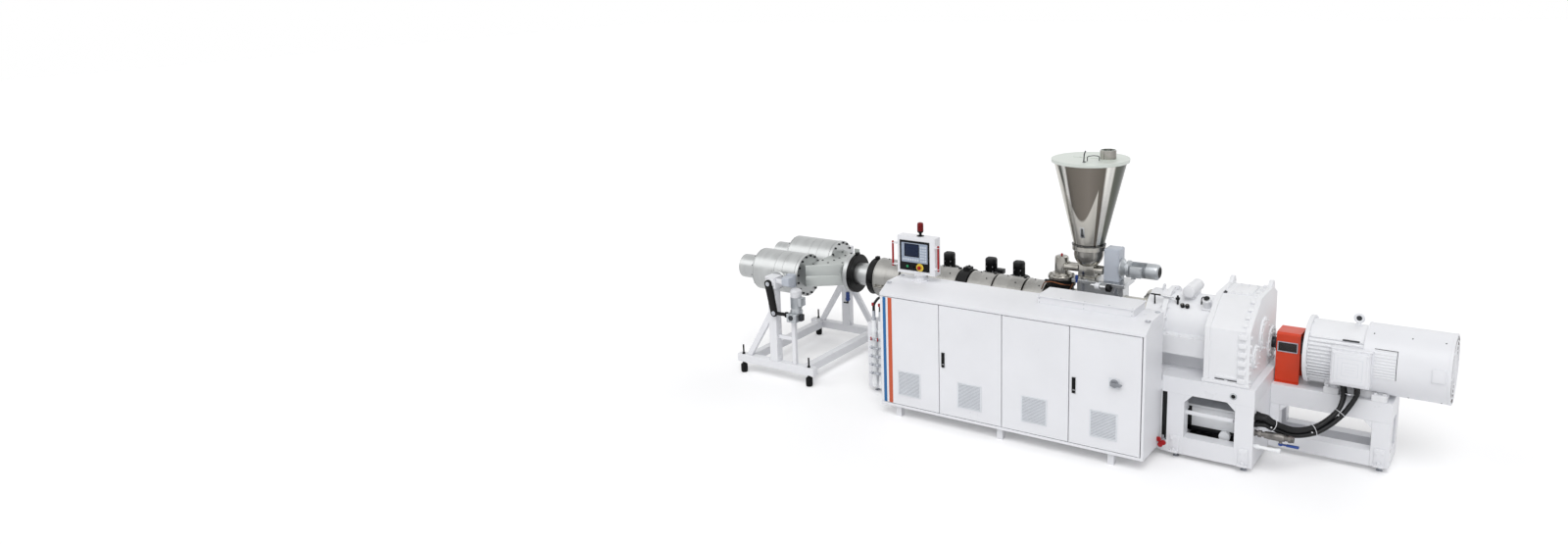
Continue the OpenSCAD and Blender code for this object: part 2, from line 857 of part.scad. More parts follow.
module hopper_lid() {
    x = hop_at + port_off;
    color("#d9dce0")
        difference() {
            union() {
                rod_z(hop_at, 0, [hop_top, hop_top + lid_t], lid_r);
                rod_z(x, 0, [hop_top + lid_t, hop_top + lid_t + port_h], port_r + port_wall);
            }
            rod_z(x, 0, [hop_top - 1, hop_top + lid_t + port_h + 1], port_r);
        }
}

module feeder_box() {
    color("#b6bcc6")
        block([fbox_x, fbox_x + fbox_l], [-fbox_w / 2, fbox_w / 2], [fplate_top, fplate_top + fbox_h]);
}

module feeder_motor() {
    x0 = fbox_x + fbox_l;
    z = screw_z + 42;
    color("#aeb2b8") {
        translate([x0, 0, z])
            rotate([0, 90, 0])
                cylinder(h = 34, r1 = fmotor_r + 18, r2 = fmotor_r);
        rod_x([x0 + 34, x0 + fmotor_l], 0, z, fmotor_r);
        block([x0 + 111, x0 + 201], [-fmotor_r - 45, -fmotor_r + 20], [z - 45, z + 45]);
    }
}

module feeder_stand() {
    color("#d9dbdf")
        difference() {
            union() {
                block([fplate_x0, fplate_x1], [-fplate_w, fplate_w], [fplate_z, fplate_top]);
                block([fplate_x0 + 30, fplate_x1 - 30], [-80, 80], [axis_z, fplate_z]);
            }
            rod_x([barrel_x0, barrel_x1], 0, axis_z, barrel_r + seat);
        }
}

// gear drive
module gear_housing() {
    px = gh_x + 330;
    pz = axis_z + gh_r + 52;
    color("#e6e7eb") {
        block([gh_x + 60, gh_x1], [-220, 220], [frame_z, gh_z1]);
        block([gh_x, gh_x1], [-gh_w, gh_w], [gh_z1, gh_z2]);
        difference() {
            union() {
                rod_x([gh_x, gh_x1], 0, axis_z, gh_r);
                rod_x([gh_x + 140, gh_x + 180], 0, axis_z, gh_r + 38);
            }
            block([gh_x - 1, gh_x1 + 1], [-gh_r - 50, gh_r + 50], [axis_z - gh_r - 50, gh_z2]);
        }
        rod_y(px, [-150, 110], pz, 50);
        block([px - 40, px + 40], [-100, 60], [axis_z + gh_r - 60, pz]);
    }
}

function gb_outline(d) = [
    [-gb_front - d, frame_z],
    [-gb_front - d, frame_z + gb_face_h + d * 0.4],
    [-gb_top_front - d * 0.4, gb_z1 + d],
    [gb_top_back + d * 0.4, gb_z1 + d],
    [gb_back + d, gb_z1 - gb_drop + d * 0.4],
    [gb_back + d, frame_z]
];

module gearbox() {
    color("#e6e7eb")
        difference() {
            union() {
                prism_x([gb_x, gb_x1], gb_outline(0));
                prism_x([gb_x, gb_x + gb_plate_t], gb_outline(gb_plate_out));
                prism_x([gb_x1 - gb_plate_t, gb_x1], gb_outline(gb_plate_out));
                rod_x([gb_x1, gb_x1 + cover_t], motor_y, drive_z, cover_r);
                rod_x([gb_x1, gb_x1 + cover_t], -60, axis_z + 20, cover_r);
            }
            rod_x([gb_x1 - bore_depth, gb_x1 + cover_t + 1], motor_y, drive_z, shaft_r + run_clear);
        }
}

module coupling() {
    color("#3a3c40") {
        rod_x([gb_x1 - bore_depth + 2, motor_x0 + bore_depth - 2], motor_y, drive_z, shaft_r);
        rod_x([coup_x0, coup_x0 + coup_l], motor_y, drive_z, coup_r);
    }
}

module coupling_guard() {
    y0 = motor_y - guard_w;
    y1 = motor_y + guard_w;
    z1 = drive_z + guard_h;
    t = guard_t;
    color("#d23c14")
        prism_x([guard_x0, guard_x0 + guard_l], [
            [y0, mb_top], [y0, z1 - guard_c], [y0 + guard_c, z1],
            [y1 - guard_c, z1], [y1, z1 - guard_c], [y1, mb_top],
            [y1 - t, mb_top], [y1 - t, z1 - guard_c - t * 0.4],
            [y1 - guard_c - t * 0.4, z1 - t], [y0 + guard_c + t * 0.4, z1 - t],
            [y0 + t, z1 - guard_c - t * 0.4], [y0 + t, mb_top]
        ]);
}

module motor() {
    color("#e6e7eb")
        difference() {
            union() {
                rod_x([motor_x0, motor_x0 + 32], motor_y, drive_z, mflange_r);
                rod_x([motor_x0 + 32, motor_x1], motor_y, drive_z, motor_r - 6);
                for (x = foot_x)
                    block([x, x + 110], [mb_front, mb_back], [mb_top, mb_top + 50]);
                block([foot_x[0], foot_x[1] + 110], [motor_y - 150, motor_y + 150],
                    [mb_top, drive_z - motor_r + 60]);
            }
            rod_x([motor_x0 - 1, motor_x0 + bore_depth], motor_y, drive_z, shaft_r + run_clear);
            rod_x([motor_x1, motor_x1 + fan_l], motor_y, drive_z, fan_r + seat);
        }
}

module fan_cover() {
    color("#e9eaee")
        rod_x([motor_x1, fan_x1], motor_y, drive_z, fan_r);
}

module terminal_box() {
    x1 = tbox_x0 + tbox_w;
    color("#e6e7eb") {
        difference() {
            block([tbox_x0, x1], [tbox_y0, motor_y], [tbox_z0, tbox_z0 + tbox_h]);
            rod_x([motor_x0, motor_x1], motor_y, drive_z, motor_r - 6 + seat);
            rod_x([motor_x1 - seat, fan_x1], motor_y, drive_z, fan_r + seat);
        }
    }
}

module cable_glands() {
    color("#2a2c30")
        for (c = cable_set) {
            p = cable_points(c);
            n = len(p) - 1;
            rod_z(p[0][0], p[0][1], [p[0][2], tbox_z0], gland_r);
            rod_x([gf_x1, p[n][0]], p[n][1], p[n][2], gland_r);
        }
}

module motor_cables() {
    color("#141518")
        for (c = cable_set)
            cable(c);
}

// control cabinet
module cabinet() {
    z0 = cab_z0 + cab_floor_t + weld;
    z1 = fascia_z - weld;
    color("#e6e7eb") {
        block([0, cab_l], [cab_front, cab_back], [cab_z0, cab_z0 + cab_floor_t]);
        for (x = cab_feet_x)
            for (y = [cab_front + cab_foot_in, cab_back - cab_foot_in])
                block([x - cab_foot_r, x + cab_foot_r], [y - cab_foot_r, y + cab_foot_r],
                    [0, cab_z0 - weld]);
        prism_x([0, cab_l], [
            [cab_front, fascia_z], [cab_front, fascia_z + fascia_h],
            [cab_front + roof_slope, roof_z], [cab_back, roof_z], [cab_back, fascia_z]
        ]);
        for (i = [1:4]) {
            rod_z(hinge_x(i), hinge_y, [z0, door_z0 + hinge_len - 2], hinge_r);
            rod_z(hinge_x(i), hinge_y, [door_z1 - hinge_len + 2, z1], hinge_r);
        }
        block([0, cab_wall], [wall_y, cab_back], [z0, z1]);
        block([cab_l - cab_wall, cab_l], [cab_front, cab_back], [z0, z1]);
        block([cab_wall + weld, cab_l - cab_wall - weld], [cab_back - cab_wall, cab_back], [z0, z1]);
        block([door_left(3) - door_gap / 2 - cab_wall / 2, door_left(3) - door_gap / 2 + cab_wall / 2],
            [wall_y, cab_back - cab_wall - weld], [z0, z1]);
    }
}

module roof_box() {
    x1 = cab_l - rbox_right;
    x0 = x1 - rbox_l;
    y0 = cab_front + roof_slope;
    z1 = roof_z + rbox_h;
    color("#e9eaee") {
        block([x0, x1], [y0, cab_back], [roof_z, z1]);
        block([x0 - rbox_over, x1 + rbox_over], [y0 - rbox_over, cab_back], [z1, z1 + rbox_lid_t]);
    }
}

module door(i) {
    x0 = door_left(i);
    color("#e6e7eb") {
        difference() {
            block([x0, x0 + door_w], [cab_front, cab_front + door_t], [door_z0, door_z1]);
            rod_z(hinge_x(i), hinge_y, [door_z0 - 1, door_z0 + hinge_len], hinge_r + run_clear);
            rod_z(hinge_x(i), hinge_y, [door_z1 - hinge_len, door_z1 + 1], hinge_r + run_clear);
            if (i == 4)
                rod_y(switch_x, [cab_front - 1, cab_front + door_t + 1], switch_z, 10 + run_clear);
        }
        if (i % 2 == 0)
            block([x0 + latch_in, x0 + latch_in + latch_w], [cab_front - latch_t, cab_front],
                [door_z0 + latch_low, door_z0 + latch_low + latch_h]);
    }
}

module door_1() {
    door(1);
}

module door_2() {
    door(2);
}

module door_3() {
    door(3);
}

module door_4() {
    door(4);
}

module main_switch() {
    y1 = cab_front - seat;
    color("#8d9096") {
        rod_y(switch_x, [y1 - switch_t, y1], switch_z, switch_r);
        rod_y(switch_x, [y1, cab_front + door_t - 2], switch_z, 10);
        block([switch_x - 20, switch_x + switch_lever], [cab_front - switch_t - switch_knob, y1 - switch_t],
            [switch_z - 11, switch_z + 11]);
    }
}

// operator panel
module panel_pedestal() {
    color("#e6e7eb") {
        rod_z(hmi_x, hmi_y, [roof_z, roof_z + ped_h], ped_r);
        rod_z(hmi_x, hmi_y, [roof_z + ped_h, hmi_z0 + swivel_len - 2], swivel_r);
    }
}

module operator_panel() {
    color("#ecedf0")
        difference() {
            block(hmi_side, [hmi_y - hmi_d / 2, hmi_y + hmi_d / 2], [hmi_z0, hmi_z0 + hmi_h]);
            rod_z(hmi_x, hmi_y, [hmi_z0 - 1, hmi_z0 + swivel_len], swivel_r + run_clear);
        }
}

module panel_handles() {
    z0 = hmi_z0 + (hmi_h - handle_len) / 2;
    color("#a81f22")
        for (i = [0, 1]) {
            x = hmi_side[i] + (2 * i - 1) * handle_out;
            y = hmi_y - handle_fore;
            rod_z(x, y, [z0, z0 + handle_len], handle_r);
            for (z = [z0 + 20, z0 + handle_len - 20])
                block(i == 0 ? [x, hmi_side[0]] : [hmi_side[1], x],
                    [y - 6, max(y + 6, hmi_y - hmi_d / 2 + 20)], [z - 6, z + 6]);
        }
}

module signal_lamp() {
    z = hmi_z0 + hmi_h;
    color("#d8261c") {
        rod_z(hmi_x, hmi_y, [z, z + 45], lamp_r - 6);
        rod_z(hmi_x, hmi_y, [z + 45, z + lamp_h], lamp_r);
    }
}

// die head
module adaptor() {
    color("#c6c8c9") {
        rod_x([adf_x, ring_x], 0, axis_z, ad_flange_r);
        rod_x([neck_x, ring2_x], 0, axis_z, neck_r);
    }
}

module adaptor_heaters() {
    color("#17181a") {
        rod_x([ring_x, neck_x], 0, axis_z, ad_ring_r);
        rod_x([ring2_x, barrel_x0], 0, axis_z, ad_ring2_r);
    }
}

module melt_manifold() {
    color("#c4c6c6")
        prism_z([die_z - man_h / 2, die_z + man_h / 2], [
            [man_x, -man_w], [adf_x, -man_in], [adf_x, man_in], [man_x, man_w]
        ]);
}

module dies() {
    color("#c4c6c6")
        for (s = [-1, 1])
            difference() {
                union() {
                    rod_x([die_x1 - die_flange_t, die_x1], s * die_y, die_z, die_flange_r);
                    rod_x([die_x0, die_x1 - die_flange_t], s * die_y, die_z, die_r);
                    rod_x([noz_x0, die_x0], s * die_y, die_z, noz_r);
                    rod_y(-st_x, s < 0 ? [-st_tube + 60, -die_y] : [die_y, st_tube - 60], die_z, trun_r);
                    rod_y(-st_x, s < 0 ? [-st_tube + 60, -st_tube + 82] : [st_tube - 82, st_tube - 60],
                        die_z, trun_r + 30);
                }
                rod_x([noz_x0 - 1, noz_x0 + noz_depth], s * die_y, die_z, noz_bore);
            }
}

// die stand
module die_stand() {
    w = st_tube;
    x1 = -st_x - post_w / 2 - weld;
    x2 = -st_x + post_w / 2 + weld;
    z1 = tube_top + weld;
    z2 = post_top - 220;
    b = 62;
    color("#e6e7eb") {
        for (s = [-1, 1]) {
            y0 = s * w - tube_s / 2;
            block([st_x0 - 60, st_x1 + 60], [y0, y0 + tube_s], [tube_z, tube_top]);
            block([-st_x - post_w / 2, -st_x + post_w / 2], [s * w - post_w / 2, s * w + post_w / 2],
                [z1, post_top - weld]);
            block([-st_x - head_s / 2, -st_x + head_s / 2], [s * w - 60, s * w + 60],
                [post_top, post_top + head_s]);
            prism_y([s * w - 22, s * w + 22], [
                [x1, z2], [x1, z2 - b * 2], [st_x0 + 40 + b, z1], [st_x0 + 40, z1]
            ]);
        }
        prism_y([w - 22, w + 22], [
            [x2, z2], [x2, z2 - b * 2], [st_x1 - 40 - b, z1], [st_x1 - 40, z1]
        ]);
        for (x = [st_x0 + 60, st_x1 - 60])
            block([x - tube_s / 2, x + tube_s / 2], [-w + tube_s / 2 + weld, w - tube_s / 2 - weld],
                [tube_z, tube_top]);
        block([thin_x - thin_s / 2, thin_x + thin_s / 2], [-w - thin_s / 2, -w + thin_s / 2], [z1, thin_z]);
        block([x2, thin_x - thin_s / 2 - weld], [-w - bar_s / 2, -w + bar_s / 2], [bar_z, bar_z + bar_s]);
    }
}

module stand_feet() {
    color("#17181a")
        for (x = [st_x0, st_x1])
            for (s = [-1, 1]) {
                rod_z(x, s * st_w, [0, sfoot_h], sfoot_r);
                rod_z(x, s * st_w, [sfoot_h, tube_z], spin_r);
                rod_z(x, s * st_w, [tube_top, tube_top + spin_up], spin_r);
            }
}

module drive_motor() {
    w = st_tube;
    color("#a9adb2") {
        block([thin_x - 30, thin_x + 85], [-w - 92, -w + 40], [thin_z, thin_z + 130]);
        rod_z(thin_x + 35, -w, [thin_z + 130, thin_z + 325], gmotor_r);
        block([thin_x + 35, thin_x + 122], [-w - 42, -w + 42], [thin_z + 160, thin_z + 245]);
    }
}

module drive_arm() {
    y1 = -st_tube - 60;
    xa = -st_x - 12;
    za = die_z - 8;
    xb = -st_x + 48;
    zb = thin_z + 66;
    l = norm([xb - xa, zb - za]);
    a = atan2(xb - xa, za - zb);
    color("#26282c") {
        rod_y(xa, [y1 - arm_t, y1], za, arm_r);
        rod_y(xb, [y1 - arm_t, y1], zb, arm_r);
        translate([xb, y1 - arm_t, zb])
            rotate([0, -a, 0])
                translate([-arm_r * 0.8, 0, 0])
                    cube([arm_r * 1.6, arm_t, l]);
        rod_x([xb, thin_x - 30], y1 - arm_t / 2, zb, arm_t / 2 - 1);
    }
}

// water supply
module water_pipes() {
    x1 = gf_x1 + valve_l;
    y = -gf_front + gf_post / 2;
    my = -base_w - wpipe_r - 14;
    color("#b08a4a") {
        difference() {
            union() {
                rod_x([gf_x1, x1], y, valve_z, valve_r - 4);
                rod_x([gf_x1 + 70, x1 - 70], y, valve_z, valve_r + 4);
                rod_z(stem_x, y, [lever_z - 6, valve_z], stem_r);
            }
            rod_x([x1 - 60, x1 + 1], y, valve_z, valve_bore);
        }
        for (mx = wpipe_x) {
            rod_z(mx, my, [frame_z0 + 30, frame_z + 60], wpipe_r);
            for (z = [frame_z0 + 60, frame_z - 70])
                block([mx - 14, mx + 14], [my, -base_w], [z, z + 26]);
        }
    }
}

module valve_lever() {
    x = stem_x;
    y = -gf_front + gf_post / 2;
    z = lever_z;
    color("#1f3f86")
        difference() {
            union() {
                rod_z(x, y, [z, z + 14], 16);
                block([x, x + lever_l], [y - 10, y + 10], [z + 4, z + 12]);
            }
            rod_z(x, y, [z - 1, z + 15], stem_r + run_clear);
        }
}

module place() {
    translate([-mid_x, -mid_y, 0])
        children();
}

place() base_frame();
place() gear_frame();
place() motor_base();
place() machine_feet();
place() oil_tank();
place() barrel();
place() heater_bands();
place() barrel_clamp();
place() blowers();
place() feed_port();
place() feed_throat();
place() hopper();
place() hopper_lid();
place() feeder_box();
place() feeder_motor();
place() feeder_stand();
place() gear_housing();
place() gearbox();
place() coupling();
place() coupling_guard();
place() motor();
place() fan_cover();
place() terminal_box();
place() cable_glands();
place() motor_cables();
place() cabinet();
place() roof_box();
place() door_1();
place() door_2();
place() door_3();
place() door_4();
place() main_switch();
place() panel_pedestal();
place() operator_panel();
place() panel_handles();
place() signal_lamp();
place() adaptor();
place() adaptor_heaters();
place() melt_manifold();
place() dies();
place() die_stand();
place() stand_feet();
place() drive_motor();
place() drive_arm();
place() water_pipes();
place() valve_lever();
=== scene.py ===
"""Plastic extruder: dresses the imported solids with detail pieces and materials.

All places are written in machine millimetres: x from the cabinet's left end towards the
motor, y from the barrel axis (the doors face -y) and z from the floor. place() turns them
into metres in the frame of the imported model.
"""
import itertools
import math

import bmesh
import bpy
from mathutils import Matrix, Vector


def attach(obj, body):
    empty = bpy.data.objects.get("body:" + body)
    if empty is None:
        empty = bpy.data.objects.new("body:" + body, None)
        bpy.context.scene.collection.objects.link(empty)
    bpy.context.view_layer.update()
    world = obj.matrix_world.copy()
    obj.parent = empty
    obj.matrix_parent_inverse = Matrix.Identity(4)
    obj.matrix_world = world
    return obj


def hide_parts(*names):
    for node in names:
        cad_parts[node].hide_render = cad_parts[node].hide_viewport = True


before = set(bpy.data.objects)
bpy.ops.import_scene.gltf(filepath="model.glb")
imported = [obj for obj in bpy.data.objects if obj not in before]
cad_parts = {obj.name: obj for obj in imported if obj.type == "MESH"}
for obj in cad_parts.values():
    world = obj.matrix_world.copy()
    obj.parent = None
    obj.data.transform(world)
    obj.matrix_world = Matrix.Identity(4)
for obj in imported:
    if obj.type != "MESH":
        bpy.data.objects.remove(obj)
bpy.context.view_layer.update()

# The model's origin in machine millimetres, and directions as seen from the doors' side
MID_X, MID_Y = 1177.0, -126.0
RIGHT, LEFT, REAR, FRONT, UP, DOWN = (1, 0, 0), (-1, 0, 0), (0, 1, 0), (0, -1, 0), (0, 0, 1), (0, 0, -1)
AXIS = {"x": Vector(RIGHT), "y": Vector(REAR), "z": Vector(UP)}


def place(x, y, z):
    """A point in machine millimetres as metres in the model's frame."""
    return Vector(((x - MID_X) / 1000, (y - MID_Y) / 1000, z / 1000))


def span(mid, half):
    """The limits of a length about its middle."""
    return (mid - half, mid + half)


def inset(limits, by):
    """Limits drawn in at both ends."""
    return (limits[0] + by, limits[1] - by)


def polar(r, degrees):
    """The two coordinates of a point on a circle."""
    a = math.radians(degrees)
    return r * math.cos(a), r * math.sin(a)


# Materials


def linear(code):
    """The linear colour of a hex code."""
    parts = [int(code[i:i + 2], 16) / 255 for i in (1, 3, 5)]
    return [c / 12.92 if c <= 0.04045 else ((c + 0.055) / 1.055) ** 2.4 for c in parts]


class Graph:
    """Adds shader nodes to a tree. An input that is a socket is linked, any other is set."""

    def __init__(self, tree):
        self.tree = tree

    def feed(self, node, inputs):
        """Links or sets the inputs of a node."""
        for key, value in inputs.items():
            if isinstance(value, bpy.types.NodeSocket):
                self.tree.links.new(value, node.inputs[key])
            else:
                node.inputs[key].default_value = value

    def add(self, kind, out, inputs, **settings):
        """The output of a new node."""
        node = self.tree.nodes.new("ShaderNode" + kind)
        for key, value in settings.items():
            setattr(node, key, value)
        self.feed(node, inputs)
        return node.outputs[out]

    def math(self, way, a, b):
        """The result of a math node on two values."""
        return self.add("Math", 0, {0: a, 1: b}, operation=way)

    def remap(self, value, low, high, first, last):
        """A value moved from one span to another."""
        return self.add("MapRange", "Result", {"Value": value, "From Min": low, "From Max": high,
                                               "To Min": first, "To Max": last})

    def mix(self, share, colour, other):
        """A socket's colour with a share of another colour."""
        return self.add("MixRGB", "Color", {"Fac": share, "Color1": colour, "Color2": list(other) + [1]})

    def ramp(self, value, stops):
        """Colours by value, from (value, colour) pairs."""
        node = self.tree.nodes.new("ShaderNodeValToRGB")
        made = node.color_ramp.elements
        while len(made) < len(stops):
            made.new(0.5)
        for stop, (at, colour) in zip(made, stops):
            stop.position = at
            stop.color = list(colour) + [1]
        self.feed(node, {"Fac": value})
        return node.outputs["Color"]


def material(name, code, rough=0.4, metal=0.0, shade=0.05, grain=5.0, stretch=(1, 1, 1),
             bump=0.1, bump_size=300.0, bump_depth=0.0004, rough_span=0.1, coat=0.0, soil=0.0,
             tint=None, specks=0.0, spec=0.5):
    """A finish of cloudy colour, uneven gloss and fine relief, with specks or soil if asked."""
    mat = bpy.data.materials.new(name)
    mat.use_nodes = True
    g = Graph(mat.node_tree)
    where = g.add("TexCoord", "Object", {})
    mapped = g.add("Mapping", "Vector", {"Vector": where, "Scale": stretch})
    cloud = g.add("TexNoise", "Fac", {"Vector": mapped, "Scale": grain, "Detail": 6.0, "Roughness": 0.6})
    base = linear(code)
    pale = linear(tint) if tint else [min(1.0, c * (1 + shade)) for c in base]
    colour = g.ramp(cloud, [(0.3, [c * (1 - shade) for c in base]), (0.7, pale)])
    if specks:
        spot = g.add("TexNoise", "Fac", {"Vector": where, "Scale": 140.0, "Detail": 2.0})
        colour = g.mix(g.remap(spot, 0.66, 0.74, 0.0, specks), colour, [c * 0.45 for c in base])
    if soil:
        low = g.remap(g.add("SeparateXYZ", "Z", {"Vector": where}), 0.0, 0.3, soil, 0.0)
        colour = g.mix(g.math("MULTIPLY", low, cloud), colour, linear("#6d675c"))
    fine = g.add("TexNoise", "Fac", {"Vector": mapped, "Scale": bump_size, "Detail": 3.0})
    g.feed(mat.node_tree.nodes["Principled BSDF"], {
        "Base Color": colour,
        "Roughness": g.remap(cloud, 0.3, 0.7, max(0.03, rough - rough_span), rough + rough_span),
        "Normal": g.add("Bump", "Normal", {"Height": fine, "Strength": bump, "Distance": bump_depth}),
        "Metallic": metal,
        "Coat Weight": coat,
        "Coat Roughness": 0.15,
        "Specular IOR Level": spec,
    })
    return mat


M = {
    "white": material("white_paint_mat", "#e6e7eb", 0.36, shade=0.025, grain=2.2, bump=0.12, bump_size=420,
                      soil=0.10),
    "cast_white": material("cast_white_mat", "#e8e9ec", 0.42, shade=0.03, grain=3, bump=0.35, bump_size=120,
                           bump_depth=0.001),
    # Whiter than the white paint: painted light that lifts the oil tank out of the frame's shade; the pipes
    # that share it are lifted too
    "tank": material("tank_white_and_painted_light_mat", "#f0f2f4", 0.4, shade=0.03, grain=3, bump=0.15),
    "barrel": material("barrel_steel_mat", "#b8b6b0", 0.34, 1.0, shade=0.10, grain=3, stretch=(60, 2, 2),
                       bump=0.3, bump_size=40),
    "band": material("band_steel_mat", "#8f8e8b", 0.32, 1.0, shade=0.06, grain=2.5, stretch=(2, 3, 3),
                     bump=0.12, bump_size=60, tint="#a5a4a1"),
    "black": material("black_paint_mat", "#0d0e0f", 0.40, shade=0.25, grain=9, bump=0.35, bump_size=260,
                      bump_depth=0.0008, specks=0.25, spec=0.2),
    "ring": material("heater_black_mat", "#070708", 0.42, shade=0.3, grain=6, stretch=(30, 3, 3), bump=0.2,
                     bump_size=50, spec=0.2),
    "stainless": material("stainless_mat", "#8f8c86", 0.20, 1.0, shade=0.14, grain=3.0, stretch=(3, 3, 0.5),
                          bump=0.06, bump_size=60, rough_span=0.06, tint="#b9b7b1"),
    "hopper": material("hopper_mat", "#8f8c86", 0.22, 1.0, shade=0.1, bump=0.05, bump_size=60,
                       rough_span=0.05),
    "pale": material("lid_pale_mat", "#d3d9d3", 0.42, 0.3, shade=0.03, grain=1.5, bump=0.05),
    "lid": material("stainless_lid_mat", "#bdbfc1", 0.30, 1.0, shade=0.05, grain=3, stretch=(4, 2, 2),
                    bump=0.08, bump_size=60),
    "die": material("die_steel_mat", "#aeb0b0", 0.36, 1.0, shade=0.03, grain=2.0, stretch=(9, 1.5, 1.5),
                    bump=0.1, bump_size=36, tint="#bbbdbd"),
    "block": material("block_steel_mat", "#b4b8b6", 0.38, 1.0, shade=0.04, grain=3, stretch=(3, 3, 24),
                      bump=0.25, bump_size=40),
    "feeder": material("feeder_grey_mat", "#b6bcc6", 0.38, shade=0.04, grain=4, bump=0.15),
    "alu": material("motor_grey_mat", "#b3b7bb", 0.36, 0.65, shade=0.10, grain=9, bump=0.35, bump_size=180,
                    bump_depth=0.0006),
    "dark": material("dark_steel_mat", "#3c3e42", 0.38, 0.8, shade=0.2, grain=8, stretch=(20, 2, 2), bump=0.3,
                     bump_size=60),
    "orange": material("guard_orange_mat", "#d23c14", 0.36, shade=0.05, grain=4, bump=0.18, bump_size=420),
    "gland": material("gland_black_mat", "#0f1012", 0.42, shade=0.15, grain=20, bump=0.2, spec=0.25),
    "rubber": material("cable_rubber_mat", "#0b0c0e", 0.5, shade=0.2, grain=30, bump=0.35, bump_size=500,
                       spec=0.3),
    "zinc": material("zinc_mat", "#b9bcc2", 0.34, 0.9, shade=0.12, grain=24, bump=0.2, bump_size=200),
    "bolt": material("bolt_black_mat", "#26272a", 0.36, 0.6, shade=0.2, grain=40, bump=0.2),
    "switch": material("switch_grey_mat", "#84878d", 0.36, shade=0.06, grain=14, bump=0.15, bump_size=500),
    "red": material("handle_red_mat", "#9a1418", 0.34, shade=0.07, grain=12, bump=0.15, bump_size=500,
                    spec=0.25),
    "lamp": material("lamp_red_mat", "#720a0d", 0.25, shade=0.10, grain=20, bump=0.1, spec=0.25),
    "brass": material("brass_mat", "#615f5d", 0.38, 0.8, shade=0.16, grain=14, bump=0.3, bump_size=160,
                      tint="#83807d"),
    "blue": material("lever_blue_mat", "#1f3f86", 0.36, shade=0.08, grain=14, bump=0.2, bump_size=400),
    "stripe_blue": material("stripe_blue_mat", "#15639f", 0.34, shade=0.03, grain=6, bump=0.06),
    "stripe_orange": material("stripe_orange_mat", "#c4512a", 0.34, shade=0.03, grain=6, bump=0.06),
    "vent": material("vent_grey_mat", "#dcdfe4", 0.48, shade=0.04, grain=10, bump=0.2, bump_size=500),
    "felt": material("vent_felt_mat", "#9fa4ac", 0.85, shade=0.12, grain=60, bump=0.6, bump_size=700),
    "panel": material("panel_black_mat", "#0b0c0e", 0.34, shade=0.12, grain=20, bump=0.08, bump_size=600,
                      spec=0.15),
    "bezel": material("bezel_grey_mat", "#9aa6b8", 0.40, shade=0.04, grain=12, bump=0.12, bump_size=500),
    "screen": material("screen_blue_mat", "#0d1d38", 0.26, shade=0.16, grain=3.5, bump=0.02, spec=0.2),
    "key": material("key_mat", "#c3cbd6", 0.44, shade=0.05, grain=30, bump=0.1),
    "yellow": material("yellow_mat", "#dfc03a", 0.38, shade=0.05, grain=20, bump=0.1),
    "green": material("green_mat", "#0f9a5c", 0.28, shade=0.08, grain=20, bump=0.08),
    "galv": material("galvanised_mat", "#b4b8bb", 0.40, 0.8, shade=0.16, grain=30, bump=0.1),
    "duct": material("duct_grey_mat", "#8e959d", 0.52, shade=0.05, grain=20, bump=0.2),
    "copper": material("copper_mat", "#7d4a30", 0.36, 0.8, shade=0.14, grain=12, bump=0.15, tint="#93603f"),
    "mesh": material("mesh_dark_mat", "#3a3432", 0.6, shade=0.2, grain=30, bump=0.2),
    "glass": material("sight_glass_mat", "#2a2d2f", 0.08, shade=0.15, grain=4, bump=0.02, coat=0.8),
    "deck": material("deck_grey_mat", "#cfd2d5", 0.42, shade=0.10, grain=6, bump=0.15),
    "gasket": material("gasket_mat", "#2b2d30", 0.7, shade=0.1, grain=40, bump=0.3),
    "tie": material("tie_mat", "#d9dade", 0.45, shade=0.05, grain=30, bump=0.1),
}

# Stand-ins for the photo's reflections on the hopper: streaks by share of a turn, foot bow
STREAKS = ((0.0, "#8d8a84"), (0.055, "#3d3e3a"), (0.085, "#77766f"), (0.105, "#45463f"), (0.13, "#8a8982"),
           (0.155, "#55544e"), (0.166, "#f2f1ec"), (0.184, "#eceae4"), (0.191, "#645f58"), (0.30, "#77716a"),
           (0.376, "#635e57"), (0.385, "#eeece6"), (0.418, "#e4e2dc"), (0.43, "#5d5f58"), (0.50, "#41453f"),
           (0.56, "#4f524b"), (0.66, "#c9c6bf"), (0.74, "#77736c"), (0.9, "#827e77"), (0.95, "#d0cdc6"))
BOW_MID, BOW_END, BOW_DEPTH = 0.254, 0.352, 30.0
BOW_LOW, BOW_HIGH, BOW_SHARE = 1800, 1825, 0.9
HOP_X = 1575


def streaked(mat, x, y):
    """Paints streaks round an upright axis in place of reflections, with a bright bow at the foot."""
    g = Graph(mat.node_tree)
    where = g.add("TexCoord", "Object", {})
    shifted = g.add("Mapping", "Vector", {"Vector": where, "Location": -place(x, y, 0)})
    turn = g.add("TexGradient", "Fac", {"Vector": shifted}, gradient_type="RADIAL")
    streaks = g.ramp(turn, [(at, linear(code)) for at, code in STREAKS])
    off = g.math("SUBTRACT", turn, BOW_MID)
    bow = g.math("MULTIPLY", g.math("MULTIPLY", off, off), BOW_DEPTH)
    height = g.math("SUBTRACT", g.add("SeparateXYZ", "Z", {"Vector": where}), bow)
    low = g.remap(height, BOW_LOW / 1000, BOW_HIGH / 1000, BOW_SHARE, 0.0)
    foot = g.math("MULTIPLY", low, g.math("LESS_THAN", turn, BOW_END))
    g.feed(mat.node_tree.nodes["Principled BSDF"], {"Base Color": g.mix(foot, streaks, linear("#c6c3bb"))})


streaked(M["hopper"], HOP_X, 0)


# Shapes

TO_METRES = Matrix.Scale(0.001, 4)
SMALLEST_BEVEL = 0.05
CORNER_REACH, CORNER_STEPS, TUBE_SIDES = 0.35, 5, 12
SHARP = math.radians(34)


def turned(axis):
    """The rotation that takes +z to an axis."""
    return Vector(UP).rotation_difference(Vector(axis).normalized()).to_matrix().to_4x4()


